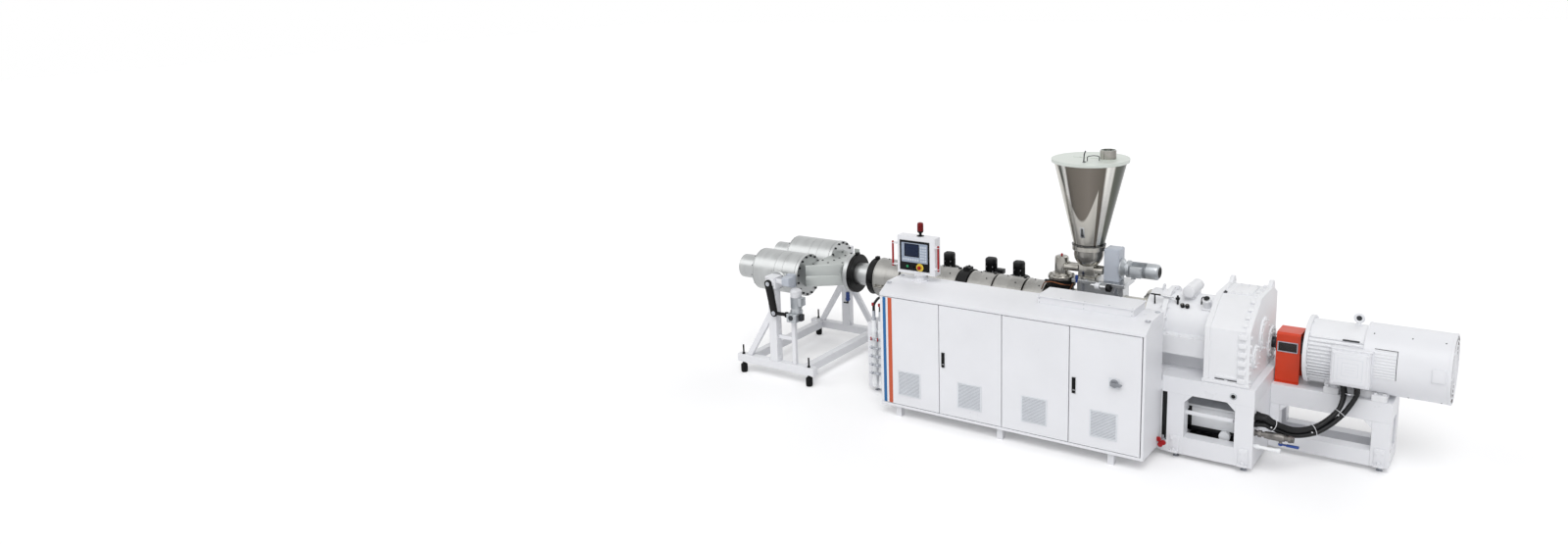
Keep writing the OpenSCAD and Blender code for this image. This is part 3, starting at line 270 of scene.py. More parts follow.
def ease(part, bevel, seg):
    """Bevels all edges of a small mesh."""
    if bevel > SMALLEST_BEVEL:
        bmesh.ops.bevel(part, geom=part.edges[:], offset=bevel, segments=seg, profile=0.5, affect="EDGES")


def smooth(points):
    """A path with each corner rounded."""
    pts = [Vector(p) for p in points]
    path = [pts[0]]
    for a, b, c in zip(pts, pts[1:], pts[2:]):
        d = CORNER_REACH * min((b - a).length, (c - b).length)
        p, q = b + (a - b).normalized() * d, b + (c - b).normalized() * d
        for k in range(CORNER_STEPS + 1):
            t = k / CORNER_STEPS
            path.append((1 - t) ** 2 * p + 2 * t * (1 - t) * b + t * t * q)
    path.append(pts[-1])
    return path


class Shape:
    """Gathers solids given in machine millimetres, then becomes one piece."""

    def __init__(self):
        self.bm = bmesh.new()

    def add(self, part, at=(0, 0, 0), turn=Matrix.Identity(4)):
        """Joins a small mesh built in millimetres, turned and moved to a point."""
        matrix = Matrix.Translation(place(*at)) @ turn @ TO_METRES
        bmesh.ops.transform(part, matrix=matrix, verts=part.verts)
        mesh = bpy.data.meshes.new("part")
        part.to_mesh(mesh)
        part.free()
        self.bm.from_mesh(mesh)
        bpy.data.meshes.remove(mesh)
        return self

    def box(self, x, y, z, bevel=2.0, seg=2, tilt=None):
        """A block between limits. tilt = (axis letter, degrees) turns it about its middle."""
        size = [max(limits) - min(limits) for limits in (x, y, z)]
        part = bmesh.new()
        bmesh.ops.create_cube(part, size=1.0)
        bmesh.ops.scale(part, vec=size, verts=part.verts)
        ease(part, min(bevel, 0.45 * min(size)), seg)
        turn = Matrix.Rotation(math.radians(tilt[1]), 4, AXIS[tilt[0]]) if tilt else Matrix.Identity(4)
        return self.add(part, [sum(limits) / 2 for limits in (x, y, z)], turn)

    def lathe(self, at, axis, profile, seg=48, closed=False, roll=0.0):
        """Turns (distance, radius) pairs about an axis and caps the ends. A closed profile makes a ring."""
        part = bmesh.new()
        if not closed:
            (t0, r0), (t1, r1) = profile[0], profile[-1]
            profile = [(t0, 0)] * (r0 > 0) + list(profile) + [(t1, 0)] * (r1 > 0)
        turns = [polar(1, 360 * k / seg) for k in range(seg)]
        rings = []
        for t, r in profile:
            corners = turns if r > 0 else [(0, 0)]
            rings.append([part.verts.new((r * c, r * s, t)) for c, s in corners])
        pairs = list(zip(rings, rings[1:]))
        if closed:
            pairs.append((rings[-1], rings[0]))
        for a, b in pairs:
            for k in range(seg):
                n = (k + 1) % seg
                if len(a) == 1:
                    part.faces.new((a[0], b[k], b[n]))
                elif len(b) == 1:
                    part.faces.new((a[k], b[0], a[n]))
                else:
                    part.faces.new((a[k], b[k], b[n], a[n]))
        return self.add(part, at, turned(axis) @ Matrix.Rotation(math.radians(roll), 4, "Z"))

    def rod(self, a, b, r, bevel=1.5, seg=32):
        """A round bar between two points, with eased ends."""
        line = Vector(b) - Vector(a)
        h = line.length
        e = min(bevel, 0.45 * h, 0.45 * r)
        return self.lathe(a, line, [(0, r - e), (e, r), (h - e, r), (h, r - e)], seg)

    def ring(self, a, b, r, inner, bevel=1.5, seg=48):
        """A tube between two points."""
        line = Vector(b) - Vector(a)
        h = line.length
        e = min(bevel, 0.45 * h, 0.45 * (r - inner))
        wall = [(0, inner), (0, r - e), (e, r), (h - e, r), (h, r - e), (h, inner)]
        return self.lathe(a, line, wall, seg, closed=True)

    def torus(self, at, axis, r, thick, seg=28, side=10):
        """A round eye or bead."""
        loop = [polar(thick, 90 - 360 * k / side) for k in range(side)]
        return self.lathe(at, axis, [(t, r + out) for t, out in loop], seg, closed=True)

    def hexagon(self, at, axis, r, h):
        """A hexagon head with a washer."""
        t = 0.22 * h
        self.lathe(at, axis, [(0, r * 1.25), (t, r * 1.25)], 18)
        return self.lathe(at, axis, [(t, r), (h * 0.86, r), (h, r * 0.84)], 6)

    def socket(self, at, axis, r, h):
        """A socket head screw."""
        bore = r * 0.5
        return self.lathe(at, axis, [(0, r), (h * 0.88, r), (h, r * 0.9), (h, bore), (h * 0.45, bore)], 14)

    def circle(self, at, axis, r, count, size, h, kind="hexagon", start=0.0):
        """Screws on a pitch circle."""
        turn = turned(axis)
        for k in range(count):
            off = turn @ Vector((*polar(r, start + 360.0 * k / count), 0))
            getattr(self, kind)(Vector(at) + off, axis, size, h)
        return self

    def grid(self, kind, xs, ys, zs, axis, size, h):
        """Screws at every crossing of the given places, each a number or several."""
        several = [(v,) if isinstance(v, (int, float)) else v for v in (xs, ys, zs)]
        for at in itertools.product(*several):
            getattr(self, kind)(at, axis, size, h)
        return self

    def prism(self, axis, limits, points, bevel=2.0, seg=2):
        """A flat outline pushed along x, y or z. Points are the two other coordinates in order."""
        part = bmesh.new()
        at = "xyz".index(axis)
        low, high = [[part.verts.new((*p[:at], t, *p[at:])) for p in points] for t in limits]
        part.faces.new(low)
        part.faces.new(high)
        n = len(points)
        for k in range(n):
            part.faces.new((low[k], low[(k + 1) % n], high[(k + 1) % n], high[k]))
        bmesh.ops.recalc_face_normals(part, faces=part.faces[:])
        ease(part, bevel, seg)
        return self.add(part)

    def tube(self, points, r):
        """A round pipe along points, with its corners eased."""
        path = smooth(points)
        part = bmesh.new()
        rings = []
        up = (path[1] - path[0]).orthogonal().normalized()
        for i, p in enumerate(path):
            t = (path[min(i + 1, len(path) - 1)] - path[max(i - 1, 0)]).normalized()
            up = (up - t * up.dot(t)).normalized()
            right = t.cross(up)
            turns = [polar(r, 360 * k / TUBE_SIDES) for k in range(TUBE_SIDES)]
            rings.append([part.verts.new(p + c * up + s * right) for c, s in turns])
        for a, b in zip(rings, rings[1:]):
            for k in range(TUBE_SIDES):
                n = (k + 1) % TUBE_SIDES
                part.faces.new((a[k], a[n], b[n], b[k]))
        part.faces.new(rings[0])
        part.faces.new(rings[-1])
        return self.add(part)

    def piece(self, name, mat, body="machine", slot=None, replaces=None):
        """The finished piece, riding on a body."""
        bmesh.ops.recalc_face_normals(self.bm, faces=self.bm.faces[:])
        mesh = bpy.data.meshes.new(name)
        self.bm.to_mesh(mesh)
        self.bm.free()
        mesh.polygons.foreach_set("use_smooth", [True] * len(mesh.polygons))
        mesh.set_sharp_from_angle(angle=SHARP)
        mesh.materials.append(M[mat])
        ob = bpy.data.objects.new(name, mesh)
        bpy.context.scene.collection.objects.link(ob)
        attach(ob, body)
        if replaces:
            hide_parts(replaces)


def frame_bars(shape, x, z, y, wide, bevel=1.5):
    """Four bars round an upright rectangle."""
    shape.box(x, y, (z[0], z[0] + wide), bevel)
    shape.box(x, y, (z[1] - wide, z[1]), bevel)
    shape.box((x[0], x[0] + wide), y, inset(z, wide), bevel)
    shape.box((x[1] - wide, x[1]), y, inset(z, wide), bevel)
    return shape


def eye(shape, at, r, thick, axis, stem=0.0):
    """A lifting eye on its collar."""
    top = thick + stem
    shape.lathe(at, UP, [(0, r * 0.9), (thick * 0.6, r * 0.9), (thick, r * 0.6), (top, r * 0.5)], 24)
    shape.torus((at[0], at[1], at[2] + top + r * 0.85), axis, r, thick)


def fins(shape, axis, at, along, r, deep, thick, count):
    """Straight fins round a motor that lies along x or stands along z. at is its axis in the other two."""
    for k in range(count):
        turn = 360.0 * k / count
        a, b = polar(r, turn)
        limits = [span(at[0] + a, deep / 2), span(at[1] + b, thick / 2)]
        limits.insert("xyz".index(axis), along)
        shape.box(*limits, 0.6, 1, (axis, turn))


# Camera, light and floor

# The photograph in pixels with the row that the lens's axis meets, and the fitted camera
PHOTO_W, PHOTO_H, LENS_ROW = 1600, 555, 200
SENSOR, FOCAL = 36, 1144.759
CAM_AT = (5040.707, -9197.490, 4022.784)
YAW, PITCH, ROLL = -0.63199, 0.20006, 0.03798
SUN_WIDTH = 40


def camera():
    """The photograph's view, from the fitted camera."""
    fwd = Vector((math.sin(YAW) * math.cos(PITCH), math.cos(YAW) * math.cos(PITCH), -math.sin(PITCH)))
    level = Vector((math.cos(YAW), -math.sin(YAW), 0))
    below = fwd.cross(level)
    right = math.cos(ROLL) * level + math.sin(ROLL) * below
    down = -math.sin(ROLL) * level + math.cos(ROLL) * below
    data = bpy.data.cameras.new("camera")
    data.sensor_width = SENSOR
    data.lens = SENSOR * FOCAL / PHOTO_W
    data.shift_y = (LENS_ROW - PHOTO_H / 2) / PHOTO_W
    data.clip_end = 200
    ob = bpy.data.objects.new("camera", data)
    ob.matrix_world = Matrix.Translation(place(*CAM_AT)) @ Matrix((right, -down, -fwd)).transposed().to_4x4()
    bpy.context.scene.collection.objects.link(ob)
    bpy.context.scene.camera = ob


def sun(name, azimuth, height, power):
    """A soft far lamp. Azimuth runs from the doors' side towards the motor's end, in degrees."""
    data = bpy.data.lights.new(name, "SUN")
    data.energy = power
    data.angle = math.radians(SUN_WIDTH)
    ob = bpy.data.objects.new(name, data)
    a, h = math.radians(azimuth), math.radians(height)
    come = Vector((math.sin(a) * math.cos(h), -math.cos(a) * math.cos(h), math.sin(h)))
    ob.rotation_euler = (-come).to_track_quat("-Z", "Y").to_euler()
    ob.location = come * 12
    bpy.context.scene.collection.objects.link(ob)


def seen_rays(g):
    """1 for rays from the camera, from mirrors and through glass, else 0."""
    path = g.tree.nodes.new("ShaderNodeLightPath").outputs
    seen = g.math("MAXIMUM", path["Is Camera Ray"], path["Is Glossy Ray"])
    return g.math("MAXIMUM", seen, path["Is Transmission Ray"])


def studio():
    """Pale floor, white surroundings and soft lamps."""
    world = bpy.data.worlds.new("studio")
    world.use_nodes = True
    g = Graph(world.node_tree)
    level = g.remap(seen_rays(g), 0.0, 1.0, 0.42, 1.0)
    g.feed(world.node_tree.nodes["Background"], {"Color": (1, 1, 1, 1), "Strength": level})
    bpy.context.scene.world = world
    bpy.context.scene.view_settings.view_transform = "Standard"
    sun("key", 25, 52, 1.45)
    sun("fill", -50, 35, 0.45)
    sun("back", 160, 40, 0.45)
    mat = material("floor_mat", "#f4f4f5", 0.7, shade=0.006, grain=1.2, bump=0.02)
    g = Graph(mat.node_tree)
    shine = g.remap(seen_rays(g), 0.0, 1.0, 0.0, 0.16)
    glow = {"Emission Color": (1, 1, 1, 1), "Emission Strength": shine}
    g.feed(mat.node_tree.nodes["Principled BSDF"], glow)
    mesh = bpy.data.meshes.new("floor")
    half = 60.0
    corners = [(-half, -half, 0), (half, -half, 0), (half, half, 0), (-half, half, 0)]
    mesh.from_pydata(corners, [], [(0, 1, 2, 3)])
    mesh.materials.append(mat)
    floor = bpy.data.objects.new("floor", mesh)
    bpy.context.scene.collection.objects.link(floor)


camera()
studio()


# Cables

CABLE_D = 36
CABLE_MID = [(3692, -20, 677), (3692, -20, 600), (3648, -80, 490), (3566, -160, 400), (3474, -240, 350),
             (3354, -330, 345), (3230, -418, 408), (3186, -440, 440), (3136, -440, 440)]
CABLE_SIDE = [(1, 0, 0), (1, 0, 0), (0.8, 0, -0.6), (0.7, 0, -0.7), (0.5, 0, -0.85), (0, 0, -1),
              (-0.3, 0, -0.95), (0, 0, -1), (0, 0, -1)]
CABLE_WIDE = [2.6, 2.2, 1.2, 1, 1, 1, 1, 1.3, 1.5]
CABLE_ACROSS = [1.5, 1.5, 1.2, 1, 1, 1, 1, 1.3, 1.5]
CABLE_SET = [(-19, -19), (19, -19), (-19, 19), (19, 19)]


def cable_points(c):
    """The route of one cable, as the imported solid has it."""
    return [Vector(m) + c[0] * w * Vector(s) + Vector((0, c[1] * a, 0))
            for m, s, w, a in zip(CABLE_MID, CABLE_SIDE, CABLE_WIDE, CABLE_ACROSS)]


def spline(p, steps):
    """A smooth line through points."""
    line = []
    for i in range(len(p) - 1):
        a = p[i - 1] if i else 2 * p[0] - p[1]
        d = p[i + 2] if i < len(p) - 2 else 2 * p[-1] - p[-2]
        for k in range(steps):
            t = k / steps
            line.append(0.5 * (2 * p[i] + (p[i + 1] - a) * t + (2 * a - 5 * p[i] + 4 * p[i + 1] - d) * t * t
                               + (3 * p[i] - a - 3 * p[i + 1] + d) * t ** 3))
    line.append(p[-1])
    return line


def cables():
    """Four motor cables between the terminal box and the gear frame."""
    for n, c in enumerate(CABLE_SET):
        line = [place(*p) for p in spline(cable_points(c), 6)]
        curve = bpy.data.curves.new("motor_cable_%d" % (n + 1), "CURVE")
        curve.dimensions = "3D"
        run = curve.splines.new("POLY")
        run.points.add(len(line) - 1)
        for point, co in zip(run.points, line):
            point.co = (*co, 1)
        curve.bevel_depth = CABLE_D / 2000
        curve.bevel_resolution = 3
        curve.use_fill_caps = True
        curve.materials.append(M["rubber"])
        ob = bpy.data.objects.new(curve.name, curve)
        bpy.context.scene.collection.objects.link(ob)
        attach(ob, "machine")
        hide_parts("motor_cables")


cables()


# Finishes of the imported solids, each node with the bevel of its edges

FINISH = {
    "white": {"base_frame": 4, "gear_frame": 4, "motor_base": 4, "die_stand": 4, "cabinet": 2, "roof_box": 2,
              "door_1": 3, "door_2": 3, "door_3": 3, "door_4": 3, "panel_pedestal": 2, "operator_panel": 5,
              "fan_cover": 5, "terminal_box": 9},
    "cast_white": {"gear_housing": 5, "gearbox": 5, "motor": 5},
    "tank": {"oil_tank": 4},
    "barrel": {"barrel": 3},
    "black": {"barrel_clamp": 4, "feed_port": 3},
    "hopper": {"hopper": 0},
    "pale": {"hopper_lid": 2},
    "lid": {"feeder_stand": 4},
    "feeder": {"feeder_box": 6},
    "dark": {"coupling": 3},
    "orange": {"coupling_guard": 1.5},
    "zinc": {"machine_feet": 2},
    "die": {"adaptor": 3},
    "ring": {"adaptor_heaters": 3},
    "blue": {"valve_lever": 3},
}


def dress(node, mat, bevel):
    """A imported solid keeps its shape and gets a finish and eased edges."""
    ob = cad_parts[node]
    ob.data.materials.clear()
    ob.data.materials.append(M[mat])
    if not bevel:
        return
    weld = ob.modifiers.new("weld", "WELD")
    weld.merge_threshold = 2e-5
    flat = ob.modifiers.new("flat", "DECIMATE")
    flat.decimate_type = "DISSOLVE"
    flat.angle_limit = math.radians(0.6)
    edge = ob.modifiers.new("edge", "BEVEL")
    edge.width = bevel / 1000
    edge.segments = 2
    edge.limit_method = "ANGLE"
    edge.angle_limit = math.radians(35)
    ob.modifiers.new("normals", "WEIGHTED_NORMAL")


for finish, nodes in FINISH.items():
    for node_name, eased in nodes.items():
        dress(node_name, finish, eased)


# Control cabinet

DOOR_Y, DOOR_T = -927, 20
DOOR_X, DOOR_PITCH = 4, 592
DOOR_W, DOOR_LOW, DOOR_TOP = 584, 134, 1122
INNER_Y = DOOR_Y + DOOR_T
SINK = 0.4


def door_details(n):
    """Vent, inner stiffeners and gasket of a door, and the latch of the leaf that closes last."""
    body = "door_%d" % n
    x0 = DOOR_X + DOOR_PITCH * (n - 1)
    x, z = (x0, x0 + DOOR_W), (DOOR_LOW, DOOR_TOP)
    vent_x, vent_z, rows = (x0 + 174, x0 + 402), (225, 458), 17
    vent = frame_bars(Shape(), vent_x, vent_z, (DOOR_Y - 6, DOOR_Y), 11)
    low, high = inset(vent_z, 18)
    for k in range(rows):
        slat = low + k * (high - low) / (rows - 1)
        vent.box(inset(vent_x, 10), (DOOR_Y - 5.5, DOOR_Y - 0.5), span(slat, 4), 0.8, 1, ("x", 24))
    vent.piece("vent_%d" % n, "vent", body)
    felt = Shape().box(inset(vent_x, 8), (DOOR_Y - 1.2, DOOR_Y + SINK), inset(vent_z, 8), 0.3)
    felt.piece("vent_felt_%d" % n, "felt", body)
    ribs = frame_bars(Shape(), inset(x, 54), inset(z, 36), (INNER_Y - SINK, INNER_Y + 9), 34)
    ribs.box(inset(x, 88), (INNER_Y - SINK, INNER_Y + 8), (620, 660), 1.5)
    ribs.grid("socket", inset(x, 71), INNER_Y + 8.6, range(DOOR_LOW + 90, DOOR_TOP, 116), REAR, 5, 1.5)
    ribs.piece("door_frame_%d" % n, "white", body)
    gasket = frame_bars(Shape(), inset(x, 34), inset(z, 16), (INNER_Y - SINK, INNER_Y + 3), 12)
    gasket.piece("door_gasket_%d" % n, "gasket", body)
    if n in (2, 4):
        latch_details(n, x0 + 39)


def latch_details(n, x):
    """Flush handle with its lock, and the bolt rods behind the leaf."""
    body = "door_%d" % n
    latch = frame_bars(Shape(), span(x, 16), (566, 700), (DOOR_Y - 9, DOOR_Y), 6, 2)
    latch.box(span(x, 11), (DOOR_Y - 8, DOOR_Y - 1), (596, 695), 3)
    latch.box(span(x, 10), (DOOR_Y - 13, DOOR_Y - 7), (648, 692), 3, 2, ("x", -4))
    latch.lathe((x, DOOR_Y - 6, 582), FRONT, [(0, 10), (5, 10), (6, 9), (6, 3), (2, 3)], 24)
    latch.piece("latch_%d" % n, "panel", body)
    rods = Shape().box(span(x, 18), (INNER_Y - SINK, INNER_Y + 12), (590, 680), 2)
    for low, high in ((680, 1090), (168, 590)):
        rods.rod((x + 2, INNER_Y + 6, low), (x + 2, INNER_Y + 6, high), 4)
    rods.piece("latch_rods_%d" % n, "zinc", body)


def stripes():
    """Two painted stripes at the free end of the first door."""
    for name, x in (("stripe_blue", (31, 62)), ("stripe_orange", (83, 123))):
        stripe = Shape().box(x, (DOOR_Y - 0.7, DOOR_Y + 0.3), (DOOR_LOW + 2, DOOR_TOP - 2), 0.2)
        stripe.piece(name, name, "door_1")


def main_switch():
    """Round escutcheon and turning handle."""
    x, z = 2150, 710
    s = Shape().lathe((x, DOOR_Y - 0.3, z), FRONT, [(0, 34), (5, 34), (8, 32), (13, 27), (16, 26)], 40)
    upper = [(70, 4), (62, 10), (8, 15), (-22, 12)]
    lower = [(dx, -dz) for dx, dz in reversed(upper)]
    s.prism("y", (DOOR_Y - 42, DOOR_Y - 16), [(x + dx, z + dz) for dx, dz in lower + upper], 3, 3)
    s.piece("switch_handle", "switch", "main_switch", replaces="main_switch")
    plate = Shape().box(span(x, 45), (DOOR_Y - 0.25, DOOR_Y + 0.2), span(z, 45), 0.05)
    plate.grid("socket", span(x, 38), DOOR_Y - 0.1, span(z, 38), FRONT, 3.2, 2)
    plate.piece("switch_plate", "vent", "door_4")


def cabinet_details():
    """Lifting rings, seals between the doors, back panels and the roof box's screws."""
    s = Shape()
    for x, y, z in ((30, -800, 1223), (2362, -800, 1223), (30, -560, 1228), (2362, -560, 1228)):
        s.ring((x, y, z), (x, y, z + 4), 22, 11, 1)
    s.piece("cabinet_eyes", "zinc")
    s = Shape()
    for x in (1188, 598, 1786):
        s.box(span(x, 1.6), (-909, -890), (DOOR_LOW, DOOR_TOP), 0.3)
    s.piece("door_gap_seals", "gasket")
    s = Shape()
    for x in ((24, 590), (606, 1180), (1208, 1780), (1796, 2366)):
        s.box(x, (-507.2, -504), (150, 1110), 1.2)
        s.grid("socket", inset(x, 14), -504.2, range(180, 1081, 180), REAR, 5, 3)
    s.piece("cabinet_back_panels", "white")
    s = Shape().grid("socket", (1456, 1836, 2228), -783, (1242, 1274), FRONT, 4, 2.5)
    s.grid("socket", (1450, 1640, 1842, 2044, 2234), (-780, -520), 1298, UP, 5, 3)
    s.piece("roof_box_screws", "zinc")


def switchgear(n, x0, x1):
    """What shows behind an open pair of doors."""
    back, rail = -527, -544
    s = Shape().box((x0 + 30, x1 - 30), (back - 10, back - 6), (170, 1090), 1)
    s.grid("hexagon", (x0 + 60, x1 - 60), back - 10, (200, 1060), FRONT, 9, 7)
    for x, z in itertools.product((x0 + 60, x1 - 60), (200, 1060)):
        s.rod((x, back, z), (x, back - 6, z), 10)
    for z in (350, 640, 930):
        s.box((x0 + 90, x1 - 90), (rail, back - 10), span(z, 17), 1)
    s.piece("mounting_plate_%d" % n, "galv")
    s = Shape()
    for z in (215, 490, 790, 1050):
        s.box((x0 + 40, x1 - 40), (back - 62, back - 10), span(z, 24), 2)
        for k in range((x1 - x0 - 120) // 16):
            x = x0 + 62 + 16 * k
            s.box((x, x + 9), (back - 63, back - 30), (z + 23, z + 26), 0.3, 1)
    for x in (x0 + 62, x1 - 62):
        s.box(span(x, 22), (back - 60, back - 10), (240, 1025), 2)
    s.piece("wiring_ducts_%d" % n, "duct")
    s = Shape()
    for x in range(x0 + 150, x0 + 871, 180):
        s.box((x, x + 140), (back - 165, rail), (830, 1010), 4)
        for z in range(845, 900, 9):
            s.box((x + 12, x + 128), (back - 167, back - 164), (z, z + 4), 0.5, 1)
        s.box((x + 36, x + 104), (back - 172, back - 164), (930, 990), 3)
    s.piece("drives_%d" % n, "duct")
    s = Shape()
    for x in range(x0 + 120, x0 + 701, 58):
        s.box((x, x + 45), (back - 100, rail), (600, 690), 3)
        s.box((x + 4, x + 41), (back - 112, back - 98), (622, 668), 2)
        s.grid("socket", (x + 9, x + 22.5, x + 36), back - 99.5, (608, 682), FRONT, 4, 2)
    s.piece("contactors_%d" % n, "panel")
    s = Shape()
    for x in range(x0 + 780, x0 + 1051, 18):
        s.box((x, x + 17), (back - 75, rail), (600, 685), 2)
        s.box((x + 5, x + 12), (back - 84, back - 74), (636, 652), 1.5)
    s.piece("breakers_%d" % n, "vent")
    s = Shape()
    for x in range(x0 + 110, min(x0 + 1010, x1 - 110), 9):
        s.box((x, x + 8), (back - 60, rail), (318, 382), 1, 1)
    s.piece("terminals_%d" % n, "key")


for leaf in (1, 2, 3, 4):
    door_details(leaf)
stripes()
main_switch()
cabinet_details()
switchgear(1, 20, 1174)
switchgear(2, 1194, 2372)


# Operator panel

PANEL_X, PANEL_Y = 258, -627
PANEL_FACE, PANEL_BACK, PANEL_TOP = -677, -577, 1636.3


def panel_front():
    """Plate, bezel, screen and keys."""
    body, face = "operator_panel", PANEL_FACE
    Shape().box((73, 375), (face - 4, face + 0.5), (1322, 1597), 2).piece("panel_plate", "panel", body)
    s = frame_bars(Shape(), (94, 358), (1399, 1577), (face - 9, face - 3.5), 8, 2)
    s.box((100, 352), (face - 6.5, face - 3.5), (1405, 1571), 1.5)
    s.piece("panel_bezel", "bezel", body)
    s = frame_bars(Shape(), (124, 274), (1451, 1571), (face - 10, face - 6), 6)
    s.piece("screen_frame", "panel", body)
    Shape().box((129, 269), (face - 8, face - 6), (1456, 1566), 0.6).piece("screen", "screen", body)
    s = Shape()
    key_y = (face - 9.5, face - 6)
    for x, z in itertools.product((285, 307, 329), range(1412, 1538, 25)):
        s.box((x, x + 17), key_y, (z, z + 18), 2)
    for x in range(107, 252, 24):
        s.box((x, x + 18), key_y, (1414, 1434), 2)
    s.piece("panel_keys", "key", body)


def panel_buttons():
    """Start button, selector and emergency stop."""
    body, face = "operator_panel", PANEL_FACE
    start, select, stop = (156, 1361), (217, 1359), (279, 1359)
    s = Shape()
    for x, z in (start, select):
        s.lathe((x, face - 4, z), FRONT, [(0, 19), (4, 19), (6, 17)], 32)
    s.piece("button_rings", "panel", body)
    s = Shape().lathe((start[0], face - 9, start[1]), FRONT, [(0, 11), (5, 11), (7, 8), (8, 0)], 32)
    s.piece("start_button", "green", body)
    s = Shape().lathe((select[0], face - 9, select[1]), FRONT, [(0, 14), (3, 14), (4, 12)], 32)
    s.box(span(select[0], 4), (face - 22, face - 12), span(select[1], 12), 2.5)
    s.piece("selector", "panel", body)
    s = Shape().lathe((stop[0], face - 4, stop[1]), FRONT, [(0, 36), (3, 36), (5, 34)], 40)
    s.piece("stop_ring", "yellow", body)
    mushroom = [(0, 11), (10, 11), (12, 18), (17, 18), (22, 15), (25, 8), (26, 0)]
    Shape().lathe((stop[0], face - 8, stop[1]), FRONT, mushroom, 36).piece("stop_button", "red", body)


def panel_fittings():
    """Back cover, side handles, signal lamp and the pedestal's flanges."""
    body = "operator_panel"
    s = Shape().box((66, 410), (PANEL_BACK - 0.4, PANEL_BACK + 4), (1310, 1620), 2)
    s.grid("socket", (78, 238, 398), PANEL_BACK + 3.8, (1322, 1608), REAR, 6, 3)
    for z in range(1520, 1593, 9):
        s.box((170, 306), (PANEL_BACK + 3.5, PANEL_BACK + 7), (z, z + 4), 0.6, 1)
    s.piece("panel_back", "white", body)
    bars, posts = Shape(), Shape()
    for x, edge in ((8, 48), (468, 428)):
        bars.rod((x, -689, 1346.8), (x, -689, 1581.8), 9.5, 4)
        for z in (1366.8, 1561.8):
            posts.box((x, edge), (-695, -658), span(z, 5.5), 2)
            posts.torus((x, -689, z), UP, 9.8, 2.4)
    bars.piece("handle_bars", "red", body, replaces="panel_handles")
    posts.piece("handle_posts", "white", body)
    stem = [(0, 33), (4, 33), (8, 20), (12, 12), (26, 12), (34, 24), (45, 28), (50, 28.4)]
    Shape().lathe((PANEL_X, PANEL_Y, PANEL_TOP), UP, stem, 32).piece("lamp_stem", "panel", body)
    lens = [(0, 28)]
    for k in range(9):
        t = 6 + 6.4 * k
        lens += [(t, 28.3), (t + 3, 28.3), (t + 4, 26.6), (t + 5.6, 26.6)]
    lens += [(66, 27.5), (74, 25), (79, 16), (80, 0)]
    s = Shape().lathe((PANEL_X, PANEL_Y, PANEL_TOP + 45), UP, lens, 36)
    s.piece("lamp_lens", "lamp", body, replaces="signal_lamp")
    s = Shape().lathe((PANEL_X, PANEL_Y, 1228), UP, [(0, 78), (8, 78), (10, 76), (10, 52), (14, 47)])
    s.circle((PANEL_X, PANEL_Y, 1238), UP, 66, 6, 8, 7)
    s.lathe((PANEL_X, PANEL_Y, 1278), UP, [(0, 58), (10, 60), (13.5, 58)])
    s.piece("pedestal_flange", "white")


panel_front()
panel_buttons()
panel_fittings()


# Barrel, heater bands and blowers

AXIS_Z = 1000
BANDS = ((-528, 283), (-230, 283), (68, 283), (473, 240.4), (728.4, 280), (1023.3, 186.7))
BLOWERS_X, BLOWER_Y = (-320, 56, 501, 785), 310


def around(x, r, degrees):
    """A point about the barrel, degrees up from the front."""
    out, up = polar(r, degrees)
    return (x, -out, AXIS_Z + up)


def heater_bands():
    """Sheathed bands with rolled lips, a bolted split and a terminal each."""
    skin, split, caps = Shape(), Shape(), Shape()
    for x, l in BANDS:
        half = [(0, 150.4), (0, 186), (2, 191), (9, 191), (12, 188), (l / 2 - 9, 188), (l / 2 - 7, 186.6)]
        skin.lathe((x, 0, AXIS_Z), RIGHT, half + [(l - t, r) for t, r in reversed(half)], 96, closed=True)
        for side in (1, -1):
            for a in (-12, -16):
                p = around(0, 196, a)
                split.box((x + 14, x + l - 14), span(side * p[1], 12), span(p[2], 2.5), 1)
            p = around(0, 200, -11)
            rows = [x + 30 + k * (l - 60) / 3 for k in range(4)]
            split.grid("hexagon", rows, side * p[1], p[2] + 2, UP, 6.5, 7)
        p = around(x + l - 30, 186, 96)
        caps.box(span(p[0], 14), span(p[1], 14), (p[2] - 6, p[2] + 14), 3)
        for at, a in ((0.3, 92), (0.72, 60)):
            caps.rod(around(x + l * at, 187, a), around(x + l * at, 194, a), 6)
    skin.piece("band_skins", "band", replaces="heater_bands")
    split.piece("band_splits", "barrel")
    caps.piece("band_terminals", "gland")


def clamp_details():
    """Bolts of the barrel's clamp and of its flange."""
    s = Shape().grid("hexagon", (378, 448), (-86, 86), 1140, UP, 11, 10)
    s.grid("hexagon", 413, (-25, 25), 1222, UP, 10, 9)
    s.grid("hexagon", (388, 438), (-202, 202), 1010, UP, 11, 10)
    for side in (1, -1):
        s.box((366, 460), span(side * 196, 22), (990, 1010), 3)
        s.grid("hexagon", 413, side * 110, (730, 800, 870), (0, side, 0), 11, 9)
    s.piece("clamp_bolts", "bolt")
    Shape().circle((2110, 0, AXIS_Z), LEFT, 205, 16, 15, 14).piece("barrel_flange_bolts", "bolt")


